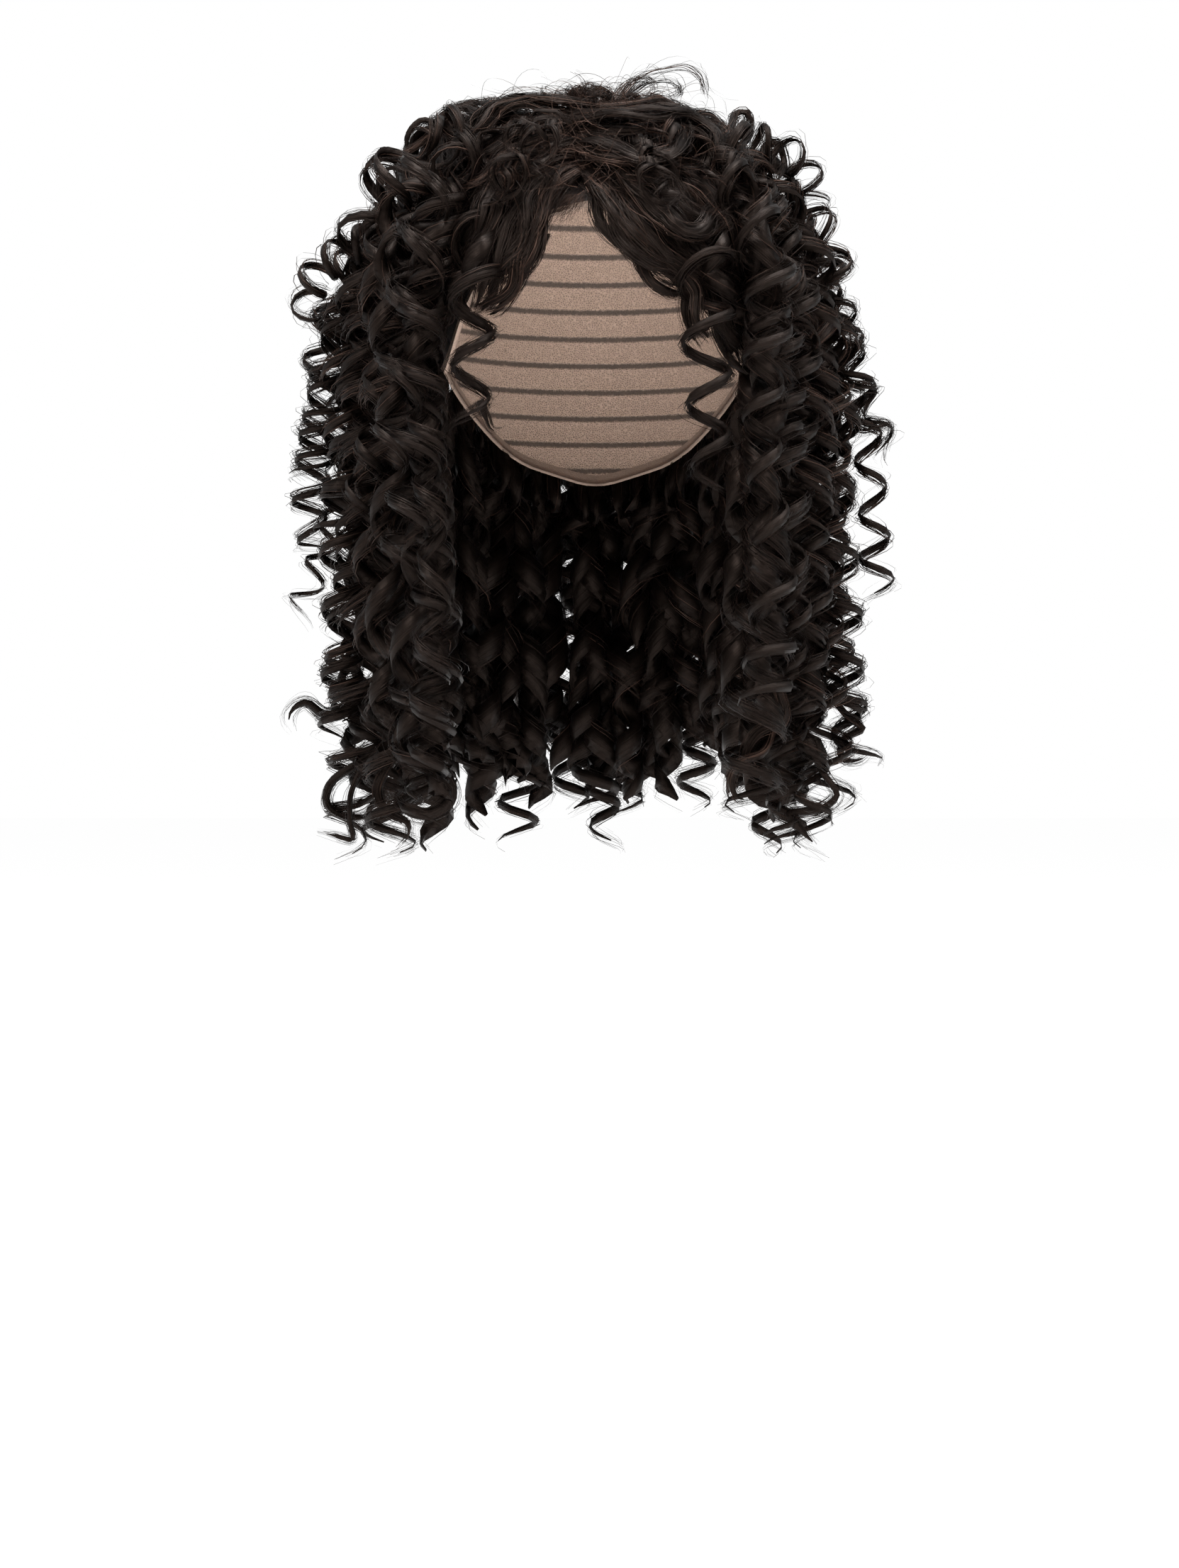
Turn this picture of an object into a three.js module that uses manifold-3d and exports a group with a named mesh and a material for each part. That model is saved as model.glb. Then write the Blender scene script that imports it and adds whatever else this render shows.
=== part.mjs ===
// A shoulder-length curly wig: a hollow cap with wefts of ringlets sewn over it.
// Millimetres, +Z up. The face looks along -Y, and left and right are the wearer's, so left is +X.
// The origin is the top of the inside of the cap, where it sits on the crown of the head.
import * as THREE from "three";
import { mergeVertices } from "three/addons/utils/BufferGeometryUtils.js";
import Module from "manifold-3d";

const wasm = await Module();
wasm.setup();

// Inside of the cap: half an ellipsoid and a little more, for a head of about 54 cm round.
const HEAD_HALF_WIDTH = 75;
const HEAD_HALF_LENGTH = 96;
const HEAD_HALF_HEIGHT = 105;
const CAP_WALL = 1.6;

// The cap and the wefts on it share one net of facets, so that the gap between them stays even.
const FACET_STEP = 12; // degrees of azimuth
const CROWN_POLAR = 34.5; // degrees down from the top, where the crown ends and the sides begin
const CROWN_ROWS = 3;
const SKIRT_ROWS = 6; // rows from the crown down to the cap's edge

// The wefts are sewn over the cap with their hair packed into a mat. It lies just clear of the cap.
const WEFT_GAP = 0.4;
const WEFT_BED = CAP_WALL + WEFT_GAP;
const LOCK_GAP = 0.5; // clear space between a trimmed lock and the mat under it
const EXTRA_TURN = 0.4; // degrees of that space past each end of the mat
const WEFT_MARGIN = 0.04; // share of a row that a mat keeps clear of the next one

// A ringlet is a flat band of hair wound round an axis.
const BAND_WIDTH = 20;
const BAND_THICKNESS = 9;
const BAND_SIDES = 4;
const RINGS_PER_TURN = 5;
const ROOT_SHARE = 0.3; // size of the band at its root and at its tip, as a share of the full one
const TIP_SHARE = 0.4;
const ROOT_HEIGHT = 5; // height of a lock's root in the mat
const CURL_STARTS = 8; // length of lock that leaves the cap straight, before it curls
const CURL_FULL = 58;
const TIP_TAPER = 48;
const TIP_SPREAD = 14; // neighbouring tips differ by up to this much in height
const LIFT_STEP = 12; // degrees from a root to the point where a lock stands at its lift

// The cap's edge, for one half of the head: the forehead, the temple, the tab in front of the ear,
// over the ear, and down to the nape. Azimuth runs from the face round to the back of the head.
const CAP_EDGE = [
  { azimuth: 0, z: -46 },
  { azimuth: 28, z: -54 },
  { azimuth: 50, z: -84 },
  { azimuth: 64, z: -122 },
  { azimuth: 78, z: -118 },
  { azimuth: 96, z: -98 },
  { azimuth: 118, z: -122 },
  { azimuth: 145, z: -152 },
  { azimuth: 180, z: -164 },
];

// The mat of each section of hair: the azimuths and the rows of the cap's net that it covers, how
// thick it is at its top and at its bottom, and how much it bulges between the two.
const MATS = [
  { section: "crown_curls", from: 0, to: 360, top: 0, bottom: 3, thickTop: 9, thickBottom: 22, bulge: 0 },
  { section: "fringe", from: 0.5, to: 36, top: 3, bottom: 9, thickTop: 21, thickBottom: 8, bulge: 3 },
  { section: "face_curl", from: 37, to: 44, top: 3, bottom: 9, thickTop: 18, thickBottom: 8, bulge: 0 },
  { section: "side_curls", from: 45, to: 108, top: 3, bottom: 9, thickTop: 22, thickBottom: 26, bulge: 9 },
  { section: "back_curls", from: 109, to: 251, top: 3, bottom: 7, thickTop: 22, thickBottom: 24, bulge: 9 },
];

// The under layer of hair hangs from the lowest wefts as a curtain of straight locks side by side. It
// begins a step below a row of the cap's net. A lock swells out of the curtain by fold, and between
// two locks the curtain is shorter by scallop.
const CURTAINS = [
  { section: "side_curls", from: 56, to: 108, locks: 4, topRow: 8, bottom: -290,
    wallTop: 22, wallBottom: 14, fold: 6, scallop: 26 },
  { section: "nape_curls", from: 110, to: 250, locks: 8, topRow: 7, bottom: -298,
    wallTop: 4, wallBottom: 8, fold: 4, scallop: 22 },
];
const CURTAIN_STEP = 3;
const CURTAIN_STEPS_PER_LOCK = 3;
const CURTAIN_STEPS_DOWN = 4;

// Rows of ringlets, upper ones over lower ones. Each leaves the cap at azimuth and polar, rises to
// lift over it, comes round to the shoulder point and ends at the tip. reach is how far a point
// stands out beyond the cap's widest line, turn is how far a lock swings round from its root.
const RINGLETS = [
  { section: "crown_curls", from: 20, to: 308, count: 5, polar: 9, lift: 17, turn: 24,
    shoulder: { reach: -26, z: 8 }, tip: { reach: 8, z: 4 }, radius: 6, pitch: 40 },
  { section: "crown_curls", from: 62, to: 298, count: 7, polar: 20, lift: 25, turn: 0,
    shoulder: { reach: 12, z: 3 }, tip: { reach: 40, z: -32 }, radius: 8, pitch: 40 },
  { section: "fringe", from: 4, to: 4, count: 1, polar: 42, lift: 13, turn: 20,
    shoulder: { reach: 5, z: -52 }, tip: { reach: 6, z: -74 }, radius: 4, pitch: 60 },
  { section: "fringe", from: 14, to: 14, count: 1, polar: 44, lift: 15, turn: 13,
    shoulder: { reach: 7, z: -56 }, tip: { reach: 6, z: -82 }, radius: 5, pitch: 54 },
  { section: "fringe", from: 12, to: 12, count: 1, polar: 36, lift: 19, turn: 32,
    shoulder: { reach: 15, z: -26 }, tip: { reach: 31, z: -43 }, radius: 6, pitch: 50 },
  { section: "face_curl", from: 40, to: 40, count: 1, polar: 60, lift: 13, turn: -6,
    shoulder: { reach: 20, z: -92 }, tip: { reach: 24, z: -156 }, radius: 8, pitch: 30 },
  { section: "side_curls", from: 54, to: 54, count: 1, polar: 66, lift: 22, turn: -2,
    shoulder: { reach: 22, z: -104 }, tip: { reach: 20, z: -326 }, radius: 9, pitch: 44 },
  { section: "side_curls", from: 61, to: 99, count: 3, polar: 54, lift: 24, turn: 0,
    shoulder: { reach: 40, z: -80 }, tip: { reach: 40, z: -300 }, radius: 10, pitch: 44 },
  { section: "back_curls", from: 121, to: 239, count: 5, polar: 66, lift: 22, turn: 0,
    shoulder: { reach: 32, z: -122 }, tip: { reach: 30, z: -324 }, radius: 10, pitch: 44 },
  { section: "back_curls", from: 134, to: 226, count: 4, polar: 54, lift: 23, turn: 0,
    shoulder: { reach: 46, z: -88 }, tip: { reach: 44, z: -296 }, radius: 10, pitch: 44 },
];

const LEFT = 1;
const RIGHT = -1;
const HAIR_COLOUR = 0x1b1413;
const CAP_COLOUR = 0x161414;

const radians = THREE.MathUtils.degToRad;
const smoothstep = THREE.MathUtils.smoothstep;
const lerp = THREE.MathUtils.lerp;

// A number from 0 to 1 that looks random and is the same in every run.
function scatter(seed) {
  const wave = Math.sin(seed * 12.9898 + 4.1414) * 43758.5453;
  return wave - Math.floor(wave);
}

// The point of the head at azimuth and polar, in degrees, moved out by offset along the surface's normal.
function capPoint(azimuth, polar, offset) {
  const a = radians(azimuth);
  const p = radians(polar);
  const onUnit = new THREE.Vector3(Math.sin(p) * Math.sin(a), -Math.sin(p) * Math.cos(a), Math.cos(p));
  const half = new THREE.Vector3(HEAD_HALF_WIDTH, HEAD_HALF_LENGTH, HEAD_HALF_HEIGHT);
  const normal = onUnit.clone().divide(half).normalize();
  return onUnit.multiply(half).addScaledVector(normal, offset).add(new THREE.Vector3(0, 0, -HEAD_HALF_HEIGHT));
}

// The point at height z that stands reach beyond the cap's widest line.
function hairPoint(azimuth, reach, z) {
  const a = radians(azimuth);
  return new THREE.Vector3((HEAD_HALF_WIDTH + reach) * Math.sin(a), -(HEAD_HALF_LENGTH + reach) * Math.cos(a), z);
}

// Polar angle of the cap's edge at an azimuth, eased from row to row of the table.
function edgePolar(azimuth) {
  const turned = Math.abs(((azimuth + 540) % 360) - 180);
  const next = Math.max(1, CAP_EDGE.findIndex((row) => row.azimuth >= turned));
  const before = CAP_EDGE[next - 1];
  const after = CAP_EDGE[next];
  const z = lerp(before.z, after.z, smoothstep(turned, before.azimuth, after.azimuth));
  return THREE.MathUtils.radToDeg(Math.acos(1 + z / HEAD_HALF_HEIGHT));
}

// Polar angle of a row of the net: even rows over the crown, then rows that follow the edge.
function rowPolar(azimuth, row) {
  if (row <= CROWN_ROWS) return (CROWN_POLAR * row) / CROWN_ROWS;
  return lerp(CROWN_POLAR, edgePolar(azimuth), (row - CROWN_ROWS) / SKIRT_ROWS);
}

// The values at which a range crosses the net: its two ends and the whole steps between them.
function netLines(from, to, step) {
  const lines = [from];
  for (let at = Math.floor(from / step + 1.01) * step; at < to - 0.01 * step; at += step) lines.push(at);
  return [...lines, to];
}

// A closed solid from a list of triangles' corners, as a manifold.
function solidFrom(corners) {
  const loose = new THREE.BufferGeometry().setFromPoints(corners);
  const merged = mergeVertices(loose, 1e-3);
  const kept = [];
  for (let i = 0; i < merged.index.count; i += 3) {
    const [a, b, c] = [0, 1, 2].map((k) => merged.index.getX(i + k));
    if (a !== b && b !== c && c !== a) kept.push(a, b, c);
  }
  const vertProperties = new Float32Array(merged.attributes.position.array);
  return new wasm.Manifold(new wasm.Mesh({ numProp: 3, vertProperties, triVerts: new Uint32Array(kept) }));
}

const quad = (corners, a, b, c, d) => corners.push(a, b, c, a, c, d);

// A wall between two surfaces, each a function of a column, counted with the azimuth, and of a row,
// counted downwards. A wall that goes right round has its last column where its first one is.
function wallSolid(columns, rows, inside, outside, round) {
  const corners = [];
  const inner = columns.map((column) => rows.map((row) => inside(column, row)));
  const outer = columns.map((column) => rows.map((row) => outside(column, row)));
  const across = columns.length - 1;
  const down = rows.length - 1;
  for (let i = 0; i < across; i++) {
    for (let j = 0; j < down; j++) {
      quad(corners, outer[i][j], outer[i][j + 1], outer[i + 1][j + 1], outer[i + 1][j]);
      quad(corners, inner[i][j], inner[i + 1][j], inner[i + 1][j + 1], inner[i][j + 1]);
    }
    quad(corners, outer[i][0], outer[i + 1][0], inner[i + 1][0], inner[i][0]);
    quad(corners, outer[i][down], inner[i][down], inner[i + 1][down], outer[i + 1][down]);
  }
  for (let j = 0; j < down && !round; j++) {
    quad(corners, outer[0][j], inner[0][j], inner[0][j + 1], outer[0][j + 1]);
    quad(corners, outer[across][j], outer[across][j + 1], inner[across][j + 1], inner[across][j]);
  }
  return solidFrom(corners);
}

// The cap: one thin wall from the top of the head to its shaped edge.
function capSolid() {
  const surface = (offset) => (azimuth, row) => capPoint(azimuth, rowPolar(azimuth, row), offset);
  const columns = netLines(0, 360, FACET_STEP);
  const rows = netLines(0, CROWN_ROWS + SKIRT_ROWS, 1);
  return wallSolid(columns, rows, surface(0), surface(CAP_WALL), true);
}

// Azimuths of a piece on one side of the head, always rising, so that walls face outwards.
const onSide = (azimuths, side) => (side > 0 ? azimuths : azimuths.map((a) => -a).reverse());

// A mat of hair: a patch of thick wall over the cap, on the same net. With extra it is that much
// thicker, and a little wider, to cut clear space for it.
function matSolid(row, side, extra = 0) {
  const thick = (at) => {
    const share = (at - row.top) / (row.bottom - row.top);
    return lerp(row.thickTop, row.thickBottom, share) + 4 * row.bulge * share * (1 - share) + extra;
  };
  const inside = (azimuth, at) => capPoint(azimuth, rowPolar(azimuth, at), WEFT_BED);
  const outside = (azimuth, at) => capPoint(azimuth, rowPolar(azimuth, at), WEFT_BED + thick(at));
  const wider = extra ? EXTRA_TURN : 0;
  const columns = onSide(netLines(row.from - wider, row.to + wider, FACET_STEP), side);
  const margin = extra ? WEFT_MARGIN / 4 : WEFT_MARGIN;
  const rows = netLines(row.top ? row.top + margin : 0, row.bottom - margin, 1);
  return wallSolid(columns, rows, inside, outside, row.to - row.from === 360);
}

// The under layer: a hanging wall with a swelling for each lock and a scalloped lower edge.
function curtainSolid(row, side) {
  const span = (row.to - row.from) / row.locks;
  const columns = onSide(netLines(0, row.locks, 1 / CURTAIN_STEPS_PER_LOCK).map((at) => row.from + at * span), side);
  const surface = (isOuter) => (azimuth, v) => {
    const swell = Math.abs(Math.sin((Math.PI * (Math.abs(azimuth) - row.from)) / span));
    const wall = lerp(row.wallTop, row.wallBottom, v) + row.fold * swell * smoothstep(v, 0, 0.4);
    const top = capPoint(azimuth, rowPolar(azimuth, row.topRow), 0).z - CURTAIN_STEP;
    const z = lerp(top, row.bottom + row.scallop * (1 - swell), v);
    return hairPoint(azimuth, WEFT_BED + (isOuter ? wall : 0), z);
  };
  return wallSolid(columns, netLines(0, 1, 1 / CURTAIN_STEPS_DOWN), surface(false), surface(true), false);
}

// The line that a lock's curl winds round, from its root on the weft to its tip.
function lockAxis(row, azimuth, side, tipDrop) {
  const at = (share) => side * (azimuth + row.turn * share);
  const { shoulder, tip } = row;
  const tipZ = tip.z - tipDrop;
  return new THREE.CatmullRomCurve3([
    capPoint(at(0), row.polar, WEFT_BED + ROOT_HEIGHT),
    capPoint(at(0.15), row.polar + LIFT_STEP, row.lift),
    hairPoint(at(0.5), shoulder.reach, shoulder.z),
    hairPoint(at(0.75), (shoulder.reach + tip.reach) / 2, (shoulder.z + tipZ) / 2),
    hairPoint(at(1), tip.reach, tipZ),
  ]);
}

// One ringlet: a flat band swept along a helix that grows out of the root and narrows at the tip.
function ringletSolid(row, axis, hand, phase) {
  const length = axis.getLength();
  const turns = length / row.pitch;
  const steps = Math.round(turns * RINGS_PER_TURN) + 2;
  const frames = axis.computeFrenetFrames(steps, false);
  const centres = [];
  const outward = [];
  for (let i = 0; i <= steps; i++) {
    const share = i / steps;
    const angle = phase + hand * 2 * Math.PI * turns * share;
    const away = frames.normals[i].clone().multiplyScalar(Math.cos(angle));
    away.addScaledVector(frames.binormals[i], Math.sin(angle));
    outward.push(away);
    const grown = row.radius * smoothstep(share * length, CURL_STARTS, CURL_FULL);
    centres.push(axis.getPointAt(share).addScaledVector(away, grown));
  }
  const rings = centres.map((centre, i) => {
    const ahead = centres[Math.min(i + 1, steps)].clone().sub(centres[Math.max(i - 1, 0)]).normalize();
    const thick = outward[i].clone().addScaledVector(ahead, -outward[i].dot(ahead)).normalize();
    const wide = ahead.clone().cross(thick);
    const run = (length * i) / steps;
    const atRoot = lerp(ROOT_SHARE, 1, smoothstep(run, 0, CURL_FULL));
    const atTip = lerp(TIP_SHARE, 1, smoothstep(length - run, 0, TIP_TAPER));
    const size = Math.min(atRoot, atTip) / 2;
    return Array.from({ length: BAND_SIDES }, (_, k) => {
      const a = (2 * Math.PI * k) / BAND_SIDES;
      return centre.clone().addScaledVector(thick, size * BAND_THICKNESS * Math.cos(a))
        .addScaledVector(wide, size * BAND_WIDTH * Math.sin(a));
    });
  });
  const corners = [];
  for (let i = 0; i < steps; i++) {
    for (let k = 0; k < BAND_SIDES; k++) {
      const n = (k + 1) % BAND_SIDES;
      const [a, b, c, d] = [rings[i][k], rings[i][n], rings[i + 1][n], rings[i + 1][k]];
      if (hand > 0) quad(corners, b, c, d, a);
      else quad(corners, a, b, c, d);
    }
  }
  const [root, tip] = [rings[0], rings[steps]];
  quad(corners, root[3], root[2], root[1], root[0]);
  quad(corners, tip[0], tip[1], tip[2], tip[3]);
  return solidFrom(corners);
}

// All the ringlets of one row, evenly spaced in azimuth, wound left and right by turns.
function rowSolids(row, side, seed) {
  return Array.from({ length: row.count }, (_, i) => {
    const azimuth = row.count > 1 ? lerp(row.from, row.to, i / (row.count - 1)) : row.from;
    const key = seed + 7 * i + (side > 0 ? 0 : 3);
    const axis = lockAxis(row, azimuth, side, (scatter(key) - 0.5) * TIP_SPREAD);
    return ringletSolid(row, axis, i % 2 ? -side : side, 2 * Math.PI * scatter(key + 0.5));
  });
}

// A section of hair: its mat, its curtain and its ringlets fused into one body.
function sectionSolid(section, side) {
  const own = (table) => table.filter((row) => row.section === section);
  const solids = [
    ...own(MATS).map((row) => matSolid(row, side)),
    ...own(CURTAINS).map((row) => curtainSolid(row, side)),
    ...RINGLETS.flatMap((row, n) => (row.section === section ? rowSolids(row, side, 31 * n) : [])),
  ];
  return solids.reduce((fused, next) => fused.add(next));
}

// The crown's ringlets lie over the other mats, and are trimmed where they would sink into them.
function crownSolid() {
  const others = MATS.filter((row) => row.section !== "crown_curls");
  const lower = others.flatMap((row) => [LEFT, RIGHT].map((side) => matSolid(row, side, LOCK_GAP)));
  const trimmed = lower.reduce((left, mat) => left.subtract(mat), sectionSolid("crown_curls", LEFT));
  return trimmed.decompose().reduce((a, b) => (a.volume() > b.volume() ? a : b));
}

function meshOf(name, solid, colour, roughness) {
  const { vertProperties, triVerts } = solid.getMesh();
  const geometry = new THREE.BufferGeometry();
  geometry.setAttribute("position", new THREE.BufferAttribute(vertProperties, 3));
  geometry.setIndex(new THREE.BufferAttribute(triVerts, 1));
  geometry.computeVertexNormals();
  const material = new THREE.MeshStandardMaterial({ color: colour, roughness, metalness: 0, flatShading: true });
  const mesh = new THREE.Mesh(geometry, material);
  mesh.name = name;
  return mesh;
}

const SIDED = ["fringe", "face_curl", "side_curls"];
const WHOLE = ["back_curls", "nape_curls"];

const wig = new THREE.Group();
wig.add(meshOf("wig_cap", capSolid(), CAP_COLOUR, 0.9));
wig.add(meshOf("crown_curls", crownSolid(), HAIR_COLOUR, 0.45));
for (const section of WHOLE) {
  wig.add(meshOf(section, sectionSolid(section, LEFT), HAIR_COLOUR, 0.45));
}
for (const section of SIDED) {
  wig.add(meshOf(`${section}_left`, sectionSolid(section, LEFT), HAIR_COLOUR, 0.45));
  wig.add(meshOf(`${section}_right`, sectionSolid(section, RIGHT), HAIR_COLOUR, 0.45));
}

export default wig;
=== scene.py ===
"""Dresses the curly wig: ringlets of single strands over a net cap, in plain studio light."""
import math

import bpy
import numpy as np
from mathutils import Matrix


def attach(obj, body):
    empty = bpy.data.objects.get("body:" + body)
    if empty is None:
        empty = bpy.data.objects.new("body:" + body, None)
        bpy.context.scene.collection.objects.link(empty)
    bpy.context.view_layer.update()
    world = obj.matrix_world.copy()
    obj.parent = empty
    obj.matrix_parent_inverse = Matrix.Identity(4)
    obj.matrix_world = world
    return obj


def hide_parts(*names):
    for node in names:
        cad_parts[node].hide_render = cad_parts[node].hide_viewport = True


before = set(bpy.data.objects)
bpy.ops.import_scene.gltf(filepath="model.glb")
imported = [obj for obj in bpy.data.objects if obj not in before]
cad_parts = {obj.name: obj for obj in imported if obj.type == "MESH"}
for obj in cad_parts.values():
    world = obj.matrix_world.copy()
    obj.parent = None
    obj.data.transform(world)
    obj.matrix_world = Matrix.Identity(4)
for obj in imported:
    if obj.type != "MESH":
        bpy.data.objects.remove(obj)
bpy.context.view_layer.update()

# Sizes are in millimetres and angles in degrees, unless a comment says otherwise.
MM = 0.001
SEED = 20
FULL_TURN = 2 * math.pi

# The photograph, and where the frame's origin lies in it.
PHOTO_WIDTH = 1663
PHOTO_HEIGHT = 2212
PIXELS_PER_MM = 3.0
ORIGIN_PIXEL = (841, 180)

# The camera is level, far off, and square to the face opening.
CAMERA_DISTANCE = 2240
SENSOR_HEIGHT = 36

# The inside of the cap is part of an ellipsoid, whose top is the origin: half width, length and height.
HEAD_HALF = np.array([75.0, 96.0, 105.0])
HEAD_CENTRE = np.array([0.0, 0.0, -105.0])
CAP_WALL = 1.6
# How far off the cap the roots lie, those of rows and those of single locks.
ROOT_CLEARANCE = 3.0
SINGLE_CLEARANCE = 2.0

# The cap's lower edge: azimuth round from the face, and height.
CAP_EDGE_AZIMUTHS = [0, 28, 50, 64, 78, 96, 118, 145, 180]
CAP_EDGE_HEIGHTS = [-46, -54, -84, -122, -118, -98, -122, -152, -164]
EDGE_SMOOTHING = 8
EDGE_SAMPLES = 9
# The cap's divisions round the head and from its top to its edge, and its kinds of face.
CAP_ROUND = 90
CAP_DOWN = 84
INSIDE, OUTSIDE, TAPE = 0, 1, 2
# The tape that edges the cap, and the rows of wefts that are stitched to its inside.
TAPE_WIDTH = 5.0
TAPE_ROUND = 0.5
WEFT_STEP = 13.0
WEFT_RIDGE = 0.5
WEFT_SHARE = 0.3

# The net is pale brown inside, and its outside, which carries the hair, is dark.
NET_COLOUR = (0.42, 0.30, 0.23)
NET_SHADE = (0.030, 0.021, 0.017)
BACKING_COLOUR = (0.020, 0.013, 0.010)
BACKING_SHADE = (0.004, 0.003, 0.003)
NET_SCALE = 1000.0
NET_THREADS = {"From Min": 0.02, "From Max": 0.22, "To Min": 1.0, "To Max": 0.5}
NET_ROUGHNESS = 0.85
TAPE_COLOUR = (0.24, 0.165, 0.125)
TAPE_SCALE = 1400.0
TAPE_ROUGHNESS = 0.8
# A wave texture of this scale has one row of stitches for each weft. Noise makes its edge ragged.
WEFT_WAVES = FULL_TURN / 20 / (WEFT_STEP * MM)
WEFT_SHADE = {"From Min": 0.11, "From Max": 0.24, "To Min": 0.12}
STITCH_SCALE = 700.0
STITCH_SHARE = 0.16
# The strength of each bump, and its depth in metres.
HAIR_BUMP = (0.8, 0.0004)
NET_BUMP = (0.6, 0.0006)
TAPE_BUMP = (0.5, 0.0004)

# The hair's texture has a column for each tint, with fine streaks along it. A value from the tint, the
# streaks and the distance from the root picks the colour: the first stop, the last, and one between. The
# distance from the root paints shade, darker towards the tips, where the lower hair lies in less light.
TINT_COLUMNS = 24
STREAK_SCALE = (24.0 * TINT_COLUMNS, 5.0, 1.0)
TINT_SHARE = 0.6
STREAK_SHARE = 0.8
# Painted shade: the colour darkens from root to tip, as the lower hair lies in less light.
TIP_PAINTED_SHADE = -0.12
HAIR_COLOURS = (
    (0.3, (0.0009, 0.0006, 0.0005)),
    (1.0, (0.040, 0.0225, 0.0165)),
    [(0.66, (0.0023, 0.0014, 0.0011))],
)
HAIR_SMOOTH = 0.34
HAIR_ROUGH = 0.58
HAIR_GLOSS = 0.062
HAIR_GLOSS_TINT = (1.0, 0.74, 0.62, 1)
HAIR_ANISOTROPY = 0.6
# The room that a band and a strand take in their column, and the margin at each end of it.
BAND_UV = 0.4
STRAND_UV = 0.35
STRAND_UV_HALF = 0.03
END_UV = 0.01

# The floor lies below the hair, and the sky is as bright as the floor, so that no horizon shows. Metres.
FLOOR_Z = -0.61
FLOOR_HALF = 40.0
FLOOR_COLOUR = (0.99, 0.99, 0.99, 1)
FLOOR_ROUGHNESS = 0.9
SKY_STRENGTH = 1.0
# Soft lights: name, place in metres, diameter, power in watts.
LIGHTS = [
    ("key", (-1.2, -1.6, 1.2), 0.6, 126),
    ("fill", (1.4, -1.5, 0.9), 0.6, 72),
    ("top", (0.1, -0.3, 1.6), 0.8, 136),
]
LIGHTS_AIM = np.array([0, 0, -0.15])

# Each piece of hair, and the node that it replaces.
PIECES = {
    "crown_front_strands": "crown_curls",
    "crown_back_strands": "crown_curls",
    "fringe_strands_left": "fringe_left",
    "fringe_strands_right": "fringe_right",
    "face_curl_strands_left": "face_curl_left",
    "face_curl_strands_right": "face_curl_right",
    "side_strands_left": "side_curls_left",
    "side_strands_right": "side_curls_right",
    "back_upper_strands": "back_curls",
    "back_lower_strands": "back_curls",
    "nape_strands": "nape_curls",
}
# Where each section of hair ends: polar angle down from the top, azimuth round from the face, and share of
# the way from the top to the cap's edge.
CROWN_POLAR = 34.5
FRINGE_AZIMUTH = 36.5
FACE_AZIMUTH = 44.5
SIDE_AZIMUTH = 108.5
BACK_SHARE = 0.56
NAPE_SHARE = 0.86

# A lock is a band with a lens section, with single strands laid over it and a few loose round it. It winds
# round an axis, a spline whose levels mix their values between these pairs of knots. The steps of its path
# and of its strands are counted for each turn, with a few to spare.
AXIS_STEP = 2.0
SPLINE_LEVELS = [((0, 1), (1, 2), (2, 3)), ((0, 2), (1, 3)), ((1, 2),)]
PATH_SEGMENTS = 24
PATH_SPARE = 12
BAND_EVERY = 2
LENS_SIDES = 4
STRAND_SEGMENTS = 8
STRAND_SPARE = 6
# A lock is straight at its root. From a little further on its curl grows, within a share of its length, and
# the band comes to its width. Over its last stretch it winds more, and it tapers to its tip.
ROOT_STRAIGHT = 14.0
CURL_FROM = 4.0
CURL_SHARE = 0.7
GATHERED = 40.0
HOOK_LENGTH = 45.0
TIP_TAPER = 13.0
# The lock swells and winds unevenly along these lengths for each radian, and ends at its own size.
BREATH_LENGTH = (25, 50)
SWELL_LENGTH = (25, 45)
SWELL = 0.2
END_SIZE = (0.8, 1.2)
# The band ends short of the tip, a little blunt, and it is darker than the strands, which shade it.
CORE_SHORT = (2, 6)
CORE_BLUNT = 2.0
CORE_TIP = 0.12
CORE_SHADE = 0.45
# Strands: how far they end short, how they lie beside and above the band, and what is left of that at
# the tip.
STRAND_SHORT = (0, 12)
SHORTEST = 0.3
BESIDE = (0.8, 1.15)
ABOVE = (0.9, 1.3)
STRAND_BLUNT = 4.0
BAND_TIP = 0.3
LIFT_TIP = 0.4
LOOSE_LIFT = (-1.5, 3.5)
CLUMP_SPREAD = 0.3
# Their drift from their way, which grows from the root, with two waves, each with a range of lengths.
STRAND_DRIFT = 0.45
LOOSE_DRIFT = 1.6
DRIFT_LENGTH = 48.0
DRIFT_GROWS = (4.0, 34.0)
DRIFT_WAVES = (1.0, 2.3)
DRIFT_RATES = (0.7, 1.3)
# Their widths, which narrow to the tip, the tilt of their ribbons, and the mean and spread of their tints.
STRAND_WIDTH = 0.36
LOOSE_WIDTH = 0.2
WIDTH_RANGE = (0.7, 1.25)
STRAND_TAPER = 24.0
STRAND_TIP = 0.35
STRAND_TILT = 0.4
STRAND_TINT = (0.05, 0.16)

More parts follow.
